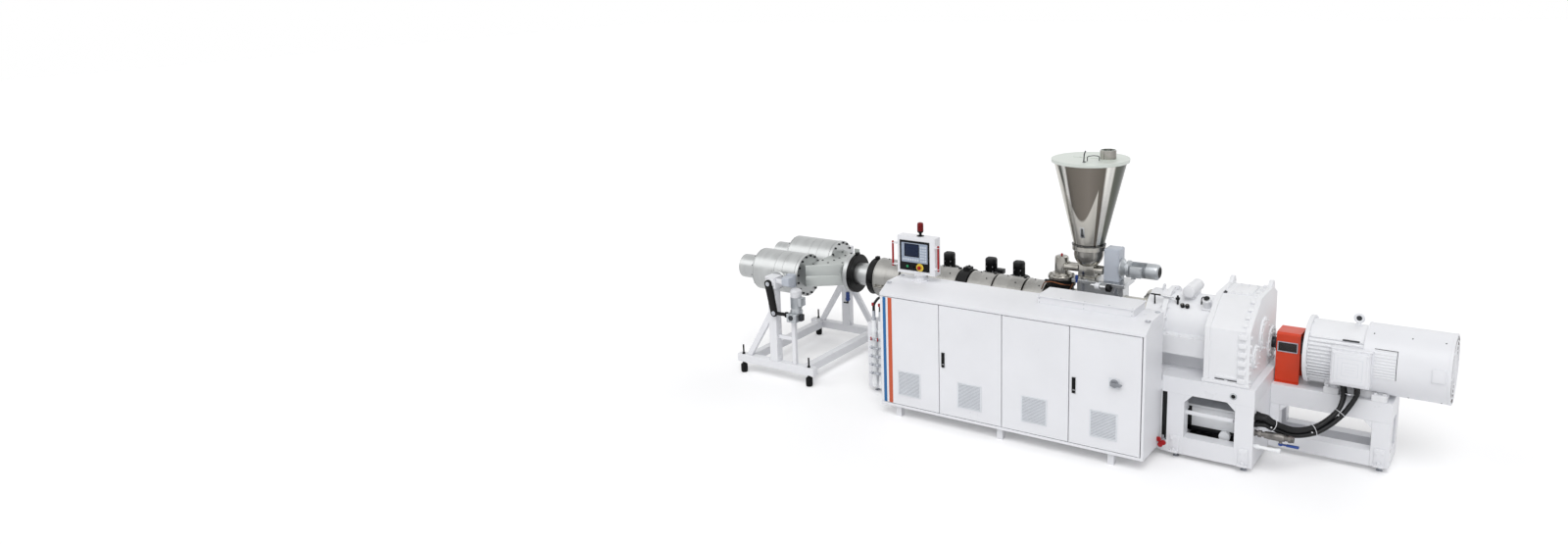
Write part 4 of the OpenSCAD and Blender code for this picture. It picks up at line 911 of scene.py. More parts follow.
def blowers():
    """Upright fan motors behind the barrel, each with an air duct to its band."""
    body, ribs, ends, dots = Shape(), Shape(), Shape(), Shape()
    y = BLOWER_Y
    for x in BLOWERS_X:
        body.box(span(x, 60), (250, 490), (690, 710), 3)
        body.lathe((x, y, 710), UP, [(0, 62), (10, 62), (14, 45), (262, 45), (270, 60)], 32)
        body.lathe((x, y, 980), UP, [(0, 96), (8, 105), (112, 105), (120, 98)])
        body.box(span(x, 52), (186, 262), (1004, 1076), 4)
        body.lathe((x, y, 1100), UP, [(0, 60), (6, 60), (8, 54), (94, 54), (98, 56)], 40)
        fins(ribs, "z", (x, y), (1109, 1193), 54, 6, 2.6, 22)
        ends.lathe((x, y, 1196), UP, [(0, 56), (2, 57), (36, 57), (46, 53), (52, 40), (54, 0)], 40)
        for k in range(-3, 4):
            ends.box(span(x + 12 * k, 2), span(y, 32), (1248.4, 1251), 0.6, 1)
        if x == BLOWERS_X[2]:
            ends.box((x + 50, x + 132), (275, 345), (1105, 1150), 5)
        else:
            ends.box((x - 50, x + 6), (358, 417), (1130, 1190), 5)
        for turn, z in itertools.product((-26, 36), (1122, 1170)):
            a, b = polar(58, turn - 90)
            dots.box(span(x + a, 3.5), span(y + b, 1.5), span(z, 6), 1, 1, ("z", turn))
    body.piece("blower_cases", "black", replaces="blowers")
    ribs.piece("blower_fins", "black")
    ends.piece("blower_caps", "gland")
    dots.piece("blower_screws", "zinc", slot="black_paint")


heater_bands()
clamp_details()
blowers()


# Hopper and screw feeder

INLET_X = 1730
PORT_X = 1330
LID_Z = 2333
SIGHT_Z, SIGHT_TILT = 1709, ("x", 13.5)


def cone_r(z):
    """The hopper's radius at a height."""
    return 128 + 177 * (z - 1570) / 735


def hopper_details():
    """Rims, inlet and handle of the lid, the clamp at the foot and the sight glass."""
    s = Shape().torus((HOP_X, 0, 2304), UP, 309, 5, 96, 8)
    s.torus((HOP_X, 0, 2330), UP, 325, 4, 96, 8)
    s.lathe((INLET_X, 0, LID_Z), UP, [(0, 66), (0, 84), (4, 84), (5, 82), (5, 66)], closed=True)
    s.circle((INLET_X, 0, LID_Z + 5), UP, 75, 8, 5, 4)
    s.box((1420, 1640), (-4, 4), (LID_Z, LID_Z + 5), 1)
    s.piece("hopper_trim", "pale")
    s = Shape().torus((HOP_X, 0, 1578), UP, 141, 4, 64, 8)
    s.box((1684, 1716), (-20, 20), (1571, 1586), 3)
    s.piece("hopper_clamp", "dark")
    s = Shape().tube([(1596, -210, LID_Z), (1598, -206, 2400), (1606, -196, 2428)], 5)
    s.tube([(1604, -150, LID_Z), (1604, -150, 2372), (1650, -130, 2380), (1690, -100, 2372),
            (1690, -100, LID_Z)], 3.5)
    s.box((1588, 1612), (-222, -190), (LID_Z, LID_Z + 5), 2)
    s.piece("lid_handle", "dark", slot="stainless")
    Shape().ring((INLET_X, 0, 2334), (INLET_X, 0, 2414), 67.5, 58, 1).piece("lid_inlet", "stainless")
    skin = -cone_r(SIGHT_Z)
    s = Shape().box(span(HOP_X, 20), (skin - 4, skin + 6), span(SIGHT_Z, 50), 3, 2, SIGHT_TILT)
    s.piece("sight_frame", "lid")
    s = Shape().box(span(HOP_X, 12), (skin - 6, skin + 2), span(SIGHT_Z, 40), 2, 2, SIGHT_TILT)
    s.piece("sight_glass", "glass")


def feed_throat():
    """Drop pipe, the two screw tubes and the rounded trough below the hopper."""
    s = Shape().lathe((PORT_X, 0, 1240), UP, [
        (0, 115), (3, 117), (27, 117), (30, 115), (30, 84), (33, 82), (46, 82), (49, 80), (49, 60), (186, 60),
        (196, 56), (200, 50)], 64)
    s.circle((PORT_X, 0, 1270), UP, 101, 10, 9, 9)
    for y in (-31, 31):
        s.lathe((1372, y, 1355), RIGHT, [(0, 30), (128, 30), (130, 0)], 40)
        s.lathe((1640, y, 1355), RIGHT, [(0, 30), (78, 30), (80, 0)], 40)
        s.ring((1376, y, 1355), (1388, y, 1355), 36, 29)
    s.lathe((HOP_X, 0, 1390), UP, [
        (0, 70), (10, 84), (30, 104), (60, 120), (95, 127), (130, 128), (140, 130), (142, 142), (178, 142),
        (180, 140)], 72)
    s.circle((HOP_X, 0, 1570), UP, 136, 12, 6, 6)
    s.prism("y", (-62, 62), [(1500, 1284), (1650, 1284), (1640, 1402), (1510, 1402)], 6, 3)
    s.box((1488, 1662), (-78, 78), (1280, 1292), 2)
    s.grid("hexagon", (1498, 1652), (-66, 0, 66), 1292, UP, 6, 6)
    s.piece("throat_and_bowl", "stainless", replaces="feed_throat")
    Shape().rod((PORT_X, 0, 1439), (PORT_X, 0, 1462), 9, 3).piece("throat_tip", "red")
    collar = [(0, 107), (0, 122), (16, 124), (30, 122), (30, 107)]
    s = Shape().lathe((PORT_X, 0, 1180), UP, collar, closed=True)
    s.circle((PORT_X, 0, 1210), UP, 115, 12, 6, 6)
    s.piece("feed_port_collar", "black")


def feed_pipes():
    """Cooling pipes at the feed port and the vacuum pipe beside it."""
    s = Shape().tube([(1440, -80, 1205), (1400, -150, 1222), (1297, -150, 1236), (1230, -150, 1222),
                      (1200, -140, 1150)], 5)
    s.tube([(1438, -90, 1160), (1470, -140, 1200), (1490, -140, 1240)], 5)
    s.piece("copper_pipes", "copper")
    s = Shape().rod((1518, -128, 1282), (1518, -128, 1318), 13)
    s.rod((1518, -128, 1250), (1518, -128, 1284), 9)
    s.piece("hose_tail", "blue")
    z = 1245
    Shape().ring((1690, -128, z), (1730, -134, z), 30, 22).piece("vacuum_collar", "white")
    s = Shape().rod((1640, -110, z), (1700, -130, z), 20)
    s.rod((1728, -134, z), (1790, -140, z), 20)
    s.piece("vacuum_pipe", "lid")
    Shape().rod((1790, -140, z), (1826, -144, z), 34, 3).piece("vacuum_flange", "gland")


def feeder():
    """Screws and plates of the grey gear case."""
    case_x, case_y, top = (1735, 1869), 70, 1565
    s = Shape().grid("socket", inset(case_x, 14), (-56, 56), top, UP, 6, 6)
    for side in (1, -1):
        s.grid("socket", inset(case_x, 12), side * case_y, (1300, 1422, 1545), (0, side, 0), 6, 5)
    s.piece("feeder_screws", "feeder")
    s = Shape().box(inset(case_x, 6), (-64, 64), (top - 2, top + 4), 2)
    for side in (1, -1):
        s.box(inset(case_x, 8), span(side * (case_y + 0.2), 1.5), (1288, 1557), 1.2)
    s.piece("feeder_plates", "feeder")


def feeder_motor():
    """Flanges, finned case, terminal box, fan cap and grille."""
    z = 1397
    s = Shape().lathe((1869, 0, z), RIGHT, [
        (0, 84), (2, 86), (12, 86), (15, 80), (36, 55), (48, 50), (52, 50), (52, 72), (54, 74), (64, 74),
        (66, 72), (66, 74), (76, 74), (78, 70), (92, 56), (231, 56), (233, 0)], 56)
    s.circle((1933, 0, z), RIGHT, 64, 6, 6, 14)
    s.circle((1881, 0, z), RIGHT, 78, 8, 5, 6)
    fins(s, "x", (0, z), (1962, 2094), 60.5, 13, 2.2, 30)
    s.box((1972, 2072), (-113, -50), (z - 45, z + 45), 6)
    s.box((1976, 2068), (-118, -112), (z - 41, z + 41), 3)
    s.grid("socket", (1984, 2060), -118, span(z, 33), FRONT, 5, 3)
    s.ring((2010, -84, z - 45), (2010, -84, z - 63), 11, 6)
    s.lathe((1940, 0, z + 62), UP, [(0, 10), (12, 10), (14, 0)], 20)
    s.piece("feeder_motor_case", "alu", replaces="feeder_motor")
    cap = [(0, 66), (2, 68), (80, 68), (94, 64), (102, 54), (104, 48)]
    Shape().lathe((2090, 0, z), RIGHT, cap, 56).piece("feeder_fan_cap", "alu")
    s = Shape()
    for r in (14, 24, 34, 44):
        s.torus((2195, 0, z), RIGHT, r, 1.8, 40, 6)
    s.lathe((2192, 0, z), RIGHT, [(0, 47), (2.4, 47)], 40)
    s.piece("feeder_fan_grille", "gland")


def feeder_stand():
    """Bolts and gussets under the feeder."""
    s = Shape().grid("hexagon", (1490, 1600, 1720, 1840, 1922), (-116, 116), 1280, UP, 8, 8)
    for side, x in itertools.product((1, -1), (1560, 1850)):
        s.prism("x", span(x, 6), [(side * 79, 1120), (side * 79, 1250), (side * 122, 1250)], 1.5)
    s.piece("feeder_stand_bolts", "zinc")


hopper_details()
feed_throat()
feed_pipes()
feeder()
feeder_motor()
feeder_stand()


# Gear housing, gearbox and frames

GB_X = (2704, 3050)
GB_MID = (GB_X[0] + GB_X[1]) / 2
MOT_Y, MOT_Z = 215, 870


def gear_housing():
    """Bolts, the inclined pump's cap, the filler and small oil fittings on the thrust housing."""
    s = Shape().circle((2290, 0, AXIS_Z), LEFT, 274, 18, 12, 11, start=10)
    s.circle((2330, 0, AXIS_Z), RIGHT, 274, 18, 12, 9, start=10)
    s.grid("hexagon", range(2185, 2661, 95), (-318, 318), 980, UP, 13, 12)
    s.lathe((2480, -150, 1307), FRONT, [(0, 46), (6, 44), (8, 38)], 40)
    s.box((2440, 2520), (-106, 66), (1240, 1262), 3)
    pump_axis = (0, -0.55, 1)
    s.lathe((2637, -150, 1197), pump_axis, [(0, 30), (70, 30), (74, 36), (92, 36), (94, 33)], 36)
    s.box((2596, 2678), (-190, -110), (1180, 1212), 5, 2, ("x", 30))
    eye(s, (2236, 0, 1254), 22, 8, RIGHT)
    s.piece("housing_castings", "cast_white")
    pipe_y, pipe_z = -190, 1262
    s = Shape().rod((2184, pipe_y, pipe_z), (2250, pipe_y, pipe_z), 6)
    s.rod((2217, -184, 1180), (2217, pipe_y, pipe_z), 6)
    s.rod((2400, -168, 1196), (2400, -172, 1272), 9, 2, 6)
    s.box((2386, 2416), (-186, -160), (1236, 1256), 3)
    s.tube([(2580, -136, 1212), (2588, -150, 1276), (2624, -154, 1286), (2640, -160, 1240)], 6)
    s.lathe((2637, -201, 1290), pump_axis, [(0, 24), (2, 24), (6, 18), (8, 0)], 32)
    plugs = Shape()
    for x in (2443, 2482):
        s.rod((x, -176, 1184), (x, -190, 1206), 17)
        plugs.rod((x, -186, 1200), (x, -194, 1212), 9)
    s.piece("oil_fittings", "gland")
    plugs.rod((2250, pipe_y, pipe_z), (2266, pipe_y, pipe_z), 9, 2, 6)
    plugs.piece("oil_plugs", "brass")
    Shape().tube([(2262, -190, 1260), (2320, -184, 1254), (2390, -174, 1250)], 6).piece("oil_pipes", "lid")


def gearbox():
    """Joint bolts, lugs, breather and bearing covers of the gear case."""
    x0, x1 = GB_X
    boss_x = (x1 - 72, x1 - 32)
    s = Shape()
    for z in range(738, 1099, 72):
        s.box((x1 - 88, x1 - 26), (-484, -444), span(z, 20), 5, 3)
        s.hexagon((x1, -452, z), RIGHT, 12, 11)
    slope = math.degrees(math.atan2(190, 292))
    for t in (0.14, 0.38, 0.62, 0.86):
        y, z = -462 + 292 * t, 1140 + 190 * t
        s.box(boss_x, span(y, 17), (z - 6, z + 20), 4, 3, ("x", slope))
    for y in (-110, -10, 90, 190):
        s.box(boss_x, span(y, 17), (1321, 1348), 4, 3)
    lug = [(170, 1336), (290, 1300), (290, 1342), (270, 1380), (236, 1388), (200, 1376)]
    for x in inset(GB_X, 21):
        s.prism("x", span(x, 16), lug, 4, 3)
        s.lathe((x - 17, 236, 1356), RIGHT, [(0, 15), (34, 15)], 24)
    s.box(inset(GB_X, 96), (-110, 170), (1327, 1341), 4)
    s.box(inset(GB_X, 92), (-472, -454), (742, 760), 4)
    for y in ((-486, -444), (330, 374)):
        s.box(inset(GB_X, -8), y, (691, 716), 4)
        s.grid("hexagon", (x0 + 26, GB_MID, x1 - 26), sum(y) / 2, 716, UP, 13, 12)
    s.grid("hexagon", (x0 + 112, GB_MID, x1 - 112), (-96, 156), 1341, UP, 9, 8)
    s.piece("gearbox_bosses", "cast_white")
    s = Shape().box((2790, 2970), (-463.5, -454), (722, 732), 1.5)
    s.ring((2748, -98, 1329), (2748, -98, 1341), 22, 13, 2, 28)
    s.piece("gearbox_breather", "dark")
    s = Shape()
    for y, z, r, inner in ((-60, 1020, 136, 0), (-300, 900, 96, 0), (MOT_Y, MOT_Z, 132, 72)):
        cover = [(0, inner), (0, r), (10, r), (13, r - 3), (13, r * 0.72), (18, r * 0.68), (18, inner)]
        s.lathe((x1, y, z), RIGHT, cover, 64, closed=bool(inner))
        s.circle((x1 + 13, y, z), RIGHT, r * 0.86, 10, 8, 8)
    s.lathe((x0, 0, 1020), LEFT, [(0, 150), (8, 150), (10, 147)], 56)
    s.piece("bearing_covers", "cast_white")


def frame_feet():
    """Foot brackets and levelling feet of the steel frames."""
    s = Shape()
    for x, y, out in ((3040, -500, -1), (2508, -500, -1), (3040, 575, 1), (2508, 575, 1), (3919, 25, -1),
                      (3919, 405, 1)):
        s.box(span(x, 37), (y, y + out * 14), (66, 200), 3)
        s.box(span(x, 37), (y - out * 2, y + out * 44), (60, 74), 3)
        s.grid("hexagon", span(x, 20), y + out * 14, 166, (0, out, 0), 10, 9)
        s.rod((x, y + out * 26, 74), (x, y + out * 26, 96), 12, 2, 6)
    s.box((2558, 2950), (-452, -440), (376, 409), 2)
    for x in (2560, 2944):
        s.box(span(x, 4), (-452, -300), (380, 405), 1.5)
    s.piece("foot_brackets", "white")
    s = Shape()
    feet = [*itertools.product((-345, 620, 1540), (430, -430)),
            *itertools.product((2507.5, 3035.5), (-445, 520)), (3919, 80), (3919, 350)]
    for x, y in feet:
        s.lathe((x, y, 0), UP, [(0, 26), (5, 26), (10, 18), (13, 12), (43, 12)], 32)
        s.lathe((x, y, 24), UP, [(0, 19), (12, 19)], 6)
    s.piece("levelling_feet", "zinc", replaces="machine_feet")


def frame_fittings():
    """Oil tank trim, inner sheets, the socket in front and the drain cock of the gear frame. The black sheets
    by and under the tank and in the gap by the cabinet are painted shade.
    """
    s = Shape().box((2500, 3066), (-322, -300), (404, 420), 3)
    s.box((2590, 3056), (-324, -319), (240, 400), 2)
    s.lathe((2857, -324, 205), FRONT, [(0, 44), (36, 44), (40, 40)], 36)
    s.piece("tank_trim", "tank")
    # Black sheets of painted shade: strips at the tank's side and foot, a panel in the gap by the cabinet,
    # and a tray under the tank where the floor lies in shade
    s = Shape().box((2502, 2588), (-322.5, -319), (198, 402), 1)
    s.box((2502, 3064), (-322.5, -319), (196, 238), 1)
    s.box((2366, 2439), (-486, -478), (140, 552), 1)
    s.box((2442, 3098), (-440, -150), (140, 146), 1)
    s.piece("tank_painted_shade_sheets", "gland")
    Shape().box((3103, 3105.8), (-392, 466), (140, 560), 0.5).piece("gear_frame_sheet", "white")
    s = Shape().box((2512, 3054), (-310, 415), (414, 420), 1.5)
    s.lathe((2700, -60, 420), UP, [(0, 60), (16, 60), (18, 56), (30, 40), (44, 40), (46, 0)], 40)
    s.piece("tank_top", "deck")
    x, y, z = 2948, -500, 616
    Shape().ring((x, y - 0.2, z), (x, y - 7, z), 27, 17, 1.5, 36).piece("frame_socket_rim", "galv")
    # The dark disc in the socket and the dark hexagon on the deck stand for holes: their black is painted
    # shade
    s = Shape().rod((x, y, z), (x, y - 2, z), 18)
    s.hexagon((2355, -82, 690), UP, 26, 6)
    s.piece("frame_fittings", "gland")
    x, y, z = 2424, -580, 150
    s = Shape().rod((x, -502, z), (x, y, z), 10, 2, 6)
    s.rod((x, -540, z), (x, -540, z + 46), 9, 2, 6)
    s.piece("drain_cock", "zinc")
    s = Shape()
    for dx, dz in ((-18, 22), (20, 0), (-4, -22)):
        s.lathe((x + dx, y, z + dz), FRONT, [(0, 18), (3, 21), (12, 21), (15, 17)], 20)
    s.box((2402, 2448), (y - 6, y + 2), span(z, 8), 3)
    s.piece("drain_handle", "red")


def base_bolts():
    """Bolts along both sides of the base frame."""
    s = Shape()
    for side in (1, -1):
        s.grid("hexagon", (-345, 620, 1540, 2338), side * 490, 630, (0, side, 0), 9, 8)
    s.piece("base_bolts", "zinc")


gear_housing()
gearbox()
frame_feet()
frame_fittings()
base_bolts()


# Coupling guard, motor and cable ends

FAN_R, CASE_R = 272, 244
FAN_END = 4360


def guard():
    """Foot strips and windows of the guard, and the hubs and pins of the coupling under it."""
    s, rim, net, rear = Shape(), Shape(), Shape(), Shape()
    for y, out in ((108, -1), (322, 1)):
        s.box((3114, 3296), (y, y + out * 20), (580, 586), 1.5)
        s.grid("hexagon", (3134, 3205, 3276), y + out * 11, 586, UP, 6, 6)
        frame_bars(rim, (3124, 3278), (836, 922), (y, y + out * 4), 7, 1)
        rear.box((3130, 3272), (y + out * 0.2, y + out * 1), (842, 916), 0.1)
        for x in range(3138, 3265, 14):
            net.rod((x, y + out * 2, 841), (x, y + out * 2, 917), 1.3, 0, 6)
        for z in range(851, 908, 14):
            net.rod((3129, y + out * 2.4, z), (3273, y + out * 2.4, z), 1.3, 0, 6)
    s.piece("guard_feet", "orange")
    rim.piece("guard_window_rims", "feeder")
    net.piece("guard_mesh", "bolt")
    rear.piece("guard_window", "mesh")
    s = Shape()
    hub = [(0, 82), (12, 79), (14, 66), (44, 66), (46, 60)]
    s.lathe((3142, MOT_Y, MOT_Z), LEFT, hub).lathe((3262, MOT_Y, MOT_Z), RIGHT, hub)
    for k in range(8):
        a, b = polar(70, 45 * k)
        s.rod((3124, MOT_Y + a, MOT_Z + b), (3280, MOT_Y + a, MOT_Z + b), 7)
    s.piece("coupling_pins", "dark", "coupling")


def cover_y(z, side, r=FAN_R):
    """The surface of the motor's case or fan cover at a height."""
    return MOT_Y + side * math.sqrt(r ** 2 - (z - MOT_Z) ** 2)


def motor_case():
    """Fins, flange bolts and feet bolts."""
    s = Shape().circle((3371, MOT_Y, MOT_Z), RIGHT, 257, 12, 8, 8, start=15)
    s.grid("hexagon", (3520, 3580, 3860, 3920), (50, 380), 630, UP, 14, 14)
    for k, side in itertools.product(range(-6, 7), (-1, 1)):
        z = MOT_Z + 27 * k
        face = cover_y(z, side, CASE_R)
        s.box((3374, 3768), (face - side * 5, face + side * 17), span(z, 4), 1.5, 1)
    for k in range(-5, 6):
        low = MOT_Z - math.sqrt(CASE_R ** 2 - (27 * k) ** 2)
        s.box((3374, 3490), span(MOT_Y + 27 * k, 4), (low - 16, low + 5), 1.5, 1)
    s.piece("motor_fins", "cast_white")


def fan_cover():
    """Air outlets, seams, eye bolt, grille and screws of the fan cover."""
    s, dark_marks = Shape(), Shape()
    for side in (-1, 1):
        for k in range(10):
            z = 806 + 22.5 * k
            face = cover_y(z, side)
            s.box((3846, 3994), (face - side * 8, face + side * 6), span(z, 5), 2, 1)
        # Dark strips along the outlet's right edge and top: painted shadow lines
        for k in range(28):
            z = 800 + 7.8 * k
            face = cover_y(z, side)
            dark_marks.box((3998, 4002), (face - side * 5, face + side * 1.5), span(z, 5), 0, 1)
        face = cover_y(1016, side)
        dark_marks.box((3842, 4002), (face - side * 6, face + side * 2), (1014, 1018), 0, 1)
    s.piece("fan_outlet", "cast_white")
    dark_marks.box((3611, 3731), (14, 26), (1029, 1043), 3, 2, ("x", -40))
    dark_marks.lathe((3690, MOT_Y - 4, 1170), REAR, [(0, 24), (8, 24)], 24)
    dark_marks.piece("fan_outlet_shadow_lines_and_marks", "gasket")
    s = Shape()
    eye(s, (3690, MOT_Y, 1112), 30, 11, REAR, 22)
    s.ring((3764, MOT_Y, MOT_Z), (3776, MOT_Y, MOT_Z), 275, 240, 2, 96)
    s.ring((FAN_END - 22, MOT_Y, MOT_Z), (FAN_END + 1, MOT_Y, MOT_Z), 275, 258, 4, 96)
    for r in range(40, 221, 36):
        s.torus((FAN_END, MOT_Y, MOT_Z), RIGHT, r, 4.5, 56, 6)
    for k in range(8):
        a, b = polar(1, 45 * k)
        inner, outer = [(FAN_END - 1, MOT_Y + r * a, MOT_Z + r * b) for r in (30, 262)]
        s.rod(inner, outer, 5, 1, 10)
    s.lathe((FAN_END - 3, MOT_Y, MOT_Z), RIGHT, [(0, 34), (7, 34), (9, 30)], 32)
    s.box((4233, 4326), (-66, -20), (831, 935), 6, 3)
    s.box((4240, 4319), (-70, -64), (838, 928), 3)
    s.piece("fan_cover_trim", "white")
    # A dark disc behind the grille: painted shade inside the fan cover
    Shape().lathe((FAN_END - 1.4, MOT_Y, MOT_Z), RIGHT, [(0, 256), (1.2, 256)], 72).piece("fan_inner_shade", "mesh")
    s = Shape()
    for x, turn in itertools.product((3820, 4080, 4300), (-60, -120, 60, 120)):
        a, b = polar(1, turn)
        s.socket((x, MOT_Y + 271.5 * a, MOT_Z + 271.5 * b), (0, a, b), 5, 3)
    s.piece("fan_cover_screws", "bolt")


def terminal_box():
    """Raised lid with its screws, and grey lines of painted shade where its grooves are."""
    s = Shape().box((3562, 3824), (-101, -86), (712, 977), 10, 4)
    s.box((3580, 3806), (-108, -100), (730, 959), 7, 4)
    s.box((3546, 3562), (-68, -8), (800, 890), 5)
    s.box((3548, 3838), (-78, 12), (985, 1000), 6, 3)
    s.grid("hexagon", (3574, 3812), -101, (724, 965), FRONT, 7, 6)
    s.piece("terminal_lid", "white")
    # Grey strips standing proud of the lid in place of its grooves: their grey is painted shade
    groove_y = (-109, -107)
    s = frame_bars(Shape(), (3604, 3782), (756, 933), groove_y, 4, 0.8)
    frame_bars(s, (3634, 3752), (790, 899), groove_y, 4, 0.8)
    for z in (820, 842, 864):
        s.box((3656, 3730), groove_y, (z, z + 4), 0.8)
    s.piece("terminal_lid_groove_shade", "vent", slot="white_paint")


def cable_ends():
    """Screwed glands at both ends of each cable, and ties round the bundle."""
    s = Shape()
    for c in CABLE_SET:
        line = cable_points(c)
        p, q = line[0], line[-1]
        for at, way, h in (((p.x, p.y, 702), DOWN, 25), ((3106, q.y, q.z), RIGHT, 30)):
            s.lathe(at, way, [(0, 27), (4, 27), (4, 22), (16, 22), (h - 6, 22), (h - 2, 19), (h, 18.2)], 28)
            s.lathe(at, way, [(4, 26), (14, 26), (16, 23)], 6)
    s.piece("gland_nuts", "gland", replaces="cable_glands")
    line = spline([Vector(p) for p in CABLE_MID], 8)
    s = Shape()
    for k in (5, 17, 31, 48):
        x, y, z = line[k]
        s.torus(line[k], line[k + 1] - line[k - 1], 46, 2.6, 32, 6)
        s.box(span(x, 6), (y - 53, y - 45), span(z, 5), 1.5)
    s.piece("cable_ties", "tie")


guard()
motor_case()
fan_cover()
terminal_box()
cable_ends()


# Water valve and manifold


def water_valve():
    """Ball valve on the gear frame's end, its lever and the condensate pipe."""
    x0, y, z, stem_x = 3106, -445, 330, 3296
    s = Shape().lathe((x0, y, z), RIGHT, [
        (0, 28), (6, 28), (6, 20), (70, 20), (76, 27), (100, 31), (190, 31), (213, 25), (215, 20), (258, 20),
        (260, 23), (285, 23), (285, 14), (225, 14)], 36)
    for a, b in ((24, 52), (70, 94), (196, 222), (244, 270)):
        h = b - a
        s.lathe((x0 + a, y, z), RIGHT, [(0, 25), (2, 28), (h - 2, 28), (h, 25)], 6, roll=30)
    s.rod((stem_x, y, z - 18), (stem_x, y, z - 40), 14, 2, 6)
    s.piece("valve_body", "brass", replaces="water_pipes")
    Shape().rod((stem_x, y, z - 30), (stem_x, y, 262), 7).piece("valve_stem", "zinc")
    s = Shape().rod((3104, -452, 222), (3300, -452, 222), 14)
    for x in (3120, 3272):
        s.ring((x, -452, 222), (x + 28, -452, 222), 19, 13)
    s.piece("condensate_pipe", "tank")
    Shape().box((3338, 3430), span(y, 12), (267, 285), 5, 3).piece("lever_grip", "blue", "valve_lever")
    Shape().hexagon((stem_x, y, 268), DOWN, 9, 8).piece("lever_nut", "zinc", "valve_lever")


def water_manifold():
    """Two cooling pipes beside the cabinet with their cocks and hoses."""
    pipes, cocks, reds, hoses = Shape(), Shape(), Shape(), Shape()
    y = -526
    for x in (-310, -240):
        pipes.rod((x, y, 74), (x, y, 750), 22, 3)
        for z in (117, 633):
            pipes.box(span(x, 15), (-530, -490), span(z, 13), 3)
            pipes.ring((x, y, z - 16), (x, y, z + 16), 27, 21)
        cocks.lathe((x, y, 740), UP, [(0, 27), (18, 27), (24, 18), (90, 18)], 6)
        hoses.tube([(x, y, 820), (x, y, 890), (x, -440, 930), (x, -280, 900), (x, -150, 872)], 13)
        for z in range(220, 557, 84):
            cocks.rod((x, -546, z), (x, -578, z), 10, 2, 6)
            cocks.rod((x - 36, -562, z), (x + 30, -562, z), 9)
            hand = reds if z == 556 else cocks
            hand.box(span(x, 6), (-588, -580), (z - 6, z + 30), 3)
        reds.box(span(x, 10), (-550, -540), (880, 912), 3)
    pipes.piece("manifold_pipes", "tank")
    cocks.piece("manifold_cocks", "zinc")
    reds.piece("red_handles", "red")
    hoses.piece("manifold_hoses", "rubber")


water_valve()
water_manifold()


# Die heads and their stand

DIE_Y, DIE_Z, DIE_X = 300, 1004, -1201
TRUNNION_X = -1375
NECK_X = -874


def dies():
    """Two turned die bodies with their joints, bolts and trunnions, and the split manifold."""
    s, bolts = Shape(), Shape()
    turn = [(0, 211), (3, 214), (33, 214), (36, 211), (36, 206), (39, 206), (40, 210)]
    for t in (188, 286, 546):
        turn += [(t, 210), (t + 1, 207.5), (t + 3, 207.5), (t + 4, 210)]
    turn += [(556, 210), (562, 206), (584, 176), (584, 118), (588, 118), (590, 122), (796, 120), (804, 112),
             (804, 80), (644, 80)]
    for side in (-1, 1):
        y = side * DIE_Y
        s.lathe((DIE_X, y, DIE_Z), LEFT, turn, 96)
        s.rod((TRUNNION_X, side * 480, DIE_Z), (TRUNNION_X, side * 601, DIE_Z), 60, 3, 48)
        collar = [(0, 86), (3, 90), (19, 90), (22, 86)]
        s.lathe((TRUNNION_X, side * 579, DIE_Z), (0, side, 0), collar)
        bolts.circle((DIE_X, y, DIE_Z), RIGHT, 194, 16, 11, 12, "socket", start=11)
        for k in range(12):
            a, b = polar(1, 30 * k + 8)
            bolts.socket((-1773, y + 190 * a, DIE_Z + 190 * b), (-0.8, 0.6 * a, 0.6 * b), 8, 8)
    s.piece("die_bodies", "die", replaces="dies")
    s = Shape()
    for low, high, e in ((894, 1000, 0), (1006, 1114, 0), (998, 1008, 5)):
        wide, narrow = 360 - e, 115 - e
        outline = [(DIE_X + e, -wide), (NECK_X - e, -narrow), (NECK_X - e, narrow), (DIE_X + e, wide)]
        s.prism("z", (low, high), outline, 0 if e else 4)
    s.box((-1034, -978), (296, 310), (1050, 1160), 3)
    s.prism("z", (1040, 1054), [(-1090, 220), (-978, 170), (-978, 310), (-1090, 310)], 2)
    s.piece("manifold_halves", "block", replaces="melt_manifold")
    for x, y in ((-1165, 270), (-1165, 100), (-1060, 160), (-1060, 50), (-930, 95)):
        bolts.grid("socket", x, (-y, y), 1114, UP, 11, 4)
    bolts.circle((NECK_X, 0, AXIS_Z), LEFT, 168, 14, 10, 10, "socket", start=12)
    bolts.piece("die_bolts", "bolt")
    Shape().box((-1308, -1216), (-548, -480), (930, 1058), 5).piece("die_side_block", "feeder")


def adaptor_trim():
    """Edge rings, bolted splits and terminals of the adaptor's heaters."""
    s = Shape()
    for x0, x1, r in ((-828, -790, 190), (-610, -540, 178)):
        mid = (x0 + x1) / 2
        for x in (x0 + 4, x1 - 10):
            s.ring((x, 0, AXIS_Z), (x + 6, 0, AXIS_Z), r + 2.5, r - 1, 1, 72)
        for side in (1, -1):
            for h in (-26, -12):
                s.box((x0 + 8, x1 - 8), span(side * (r + 6), 12), (AXIS_Z + h, AXIS_Z + h + 8), 2)
            s.hexagon((mid, side * (r + 8), AXIS_Z - 4), UP, 7, 8)
        s.box(span(mid, 18), (-22, 22), (AXIS_Z + r - 3, AXIS_Z + r + 24), 4)
    s.piece("adaptor_heater_trim", "ring")


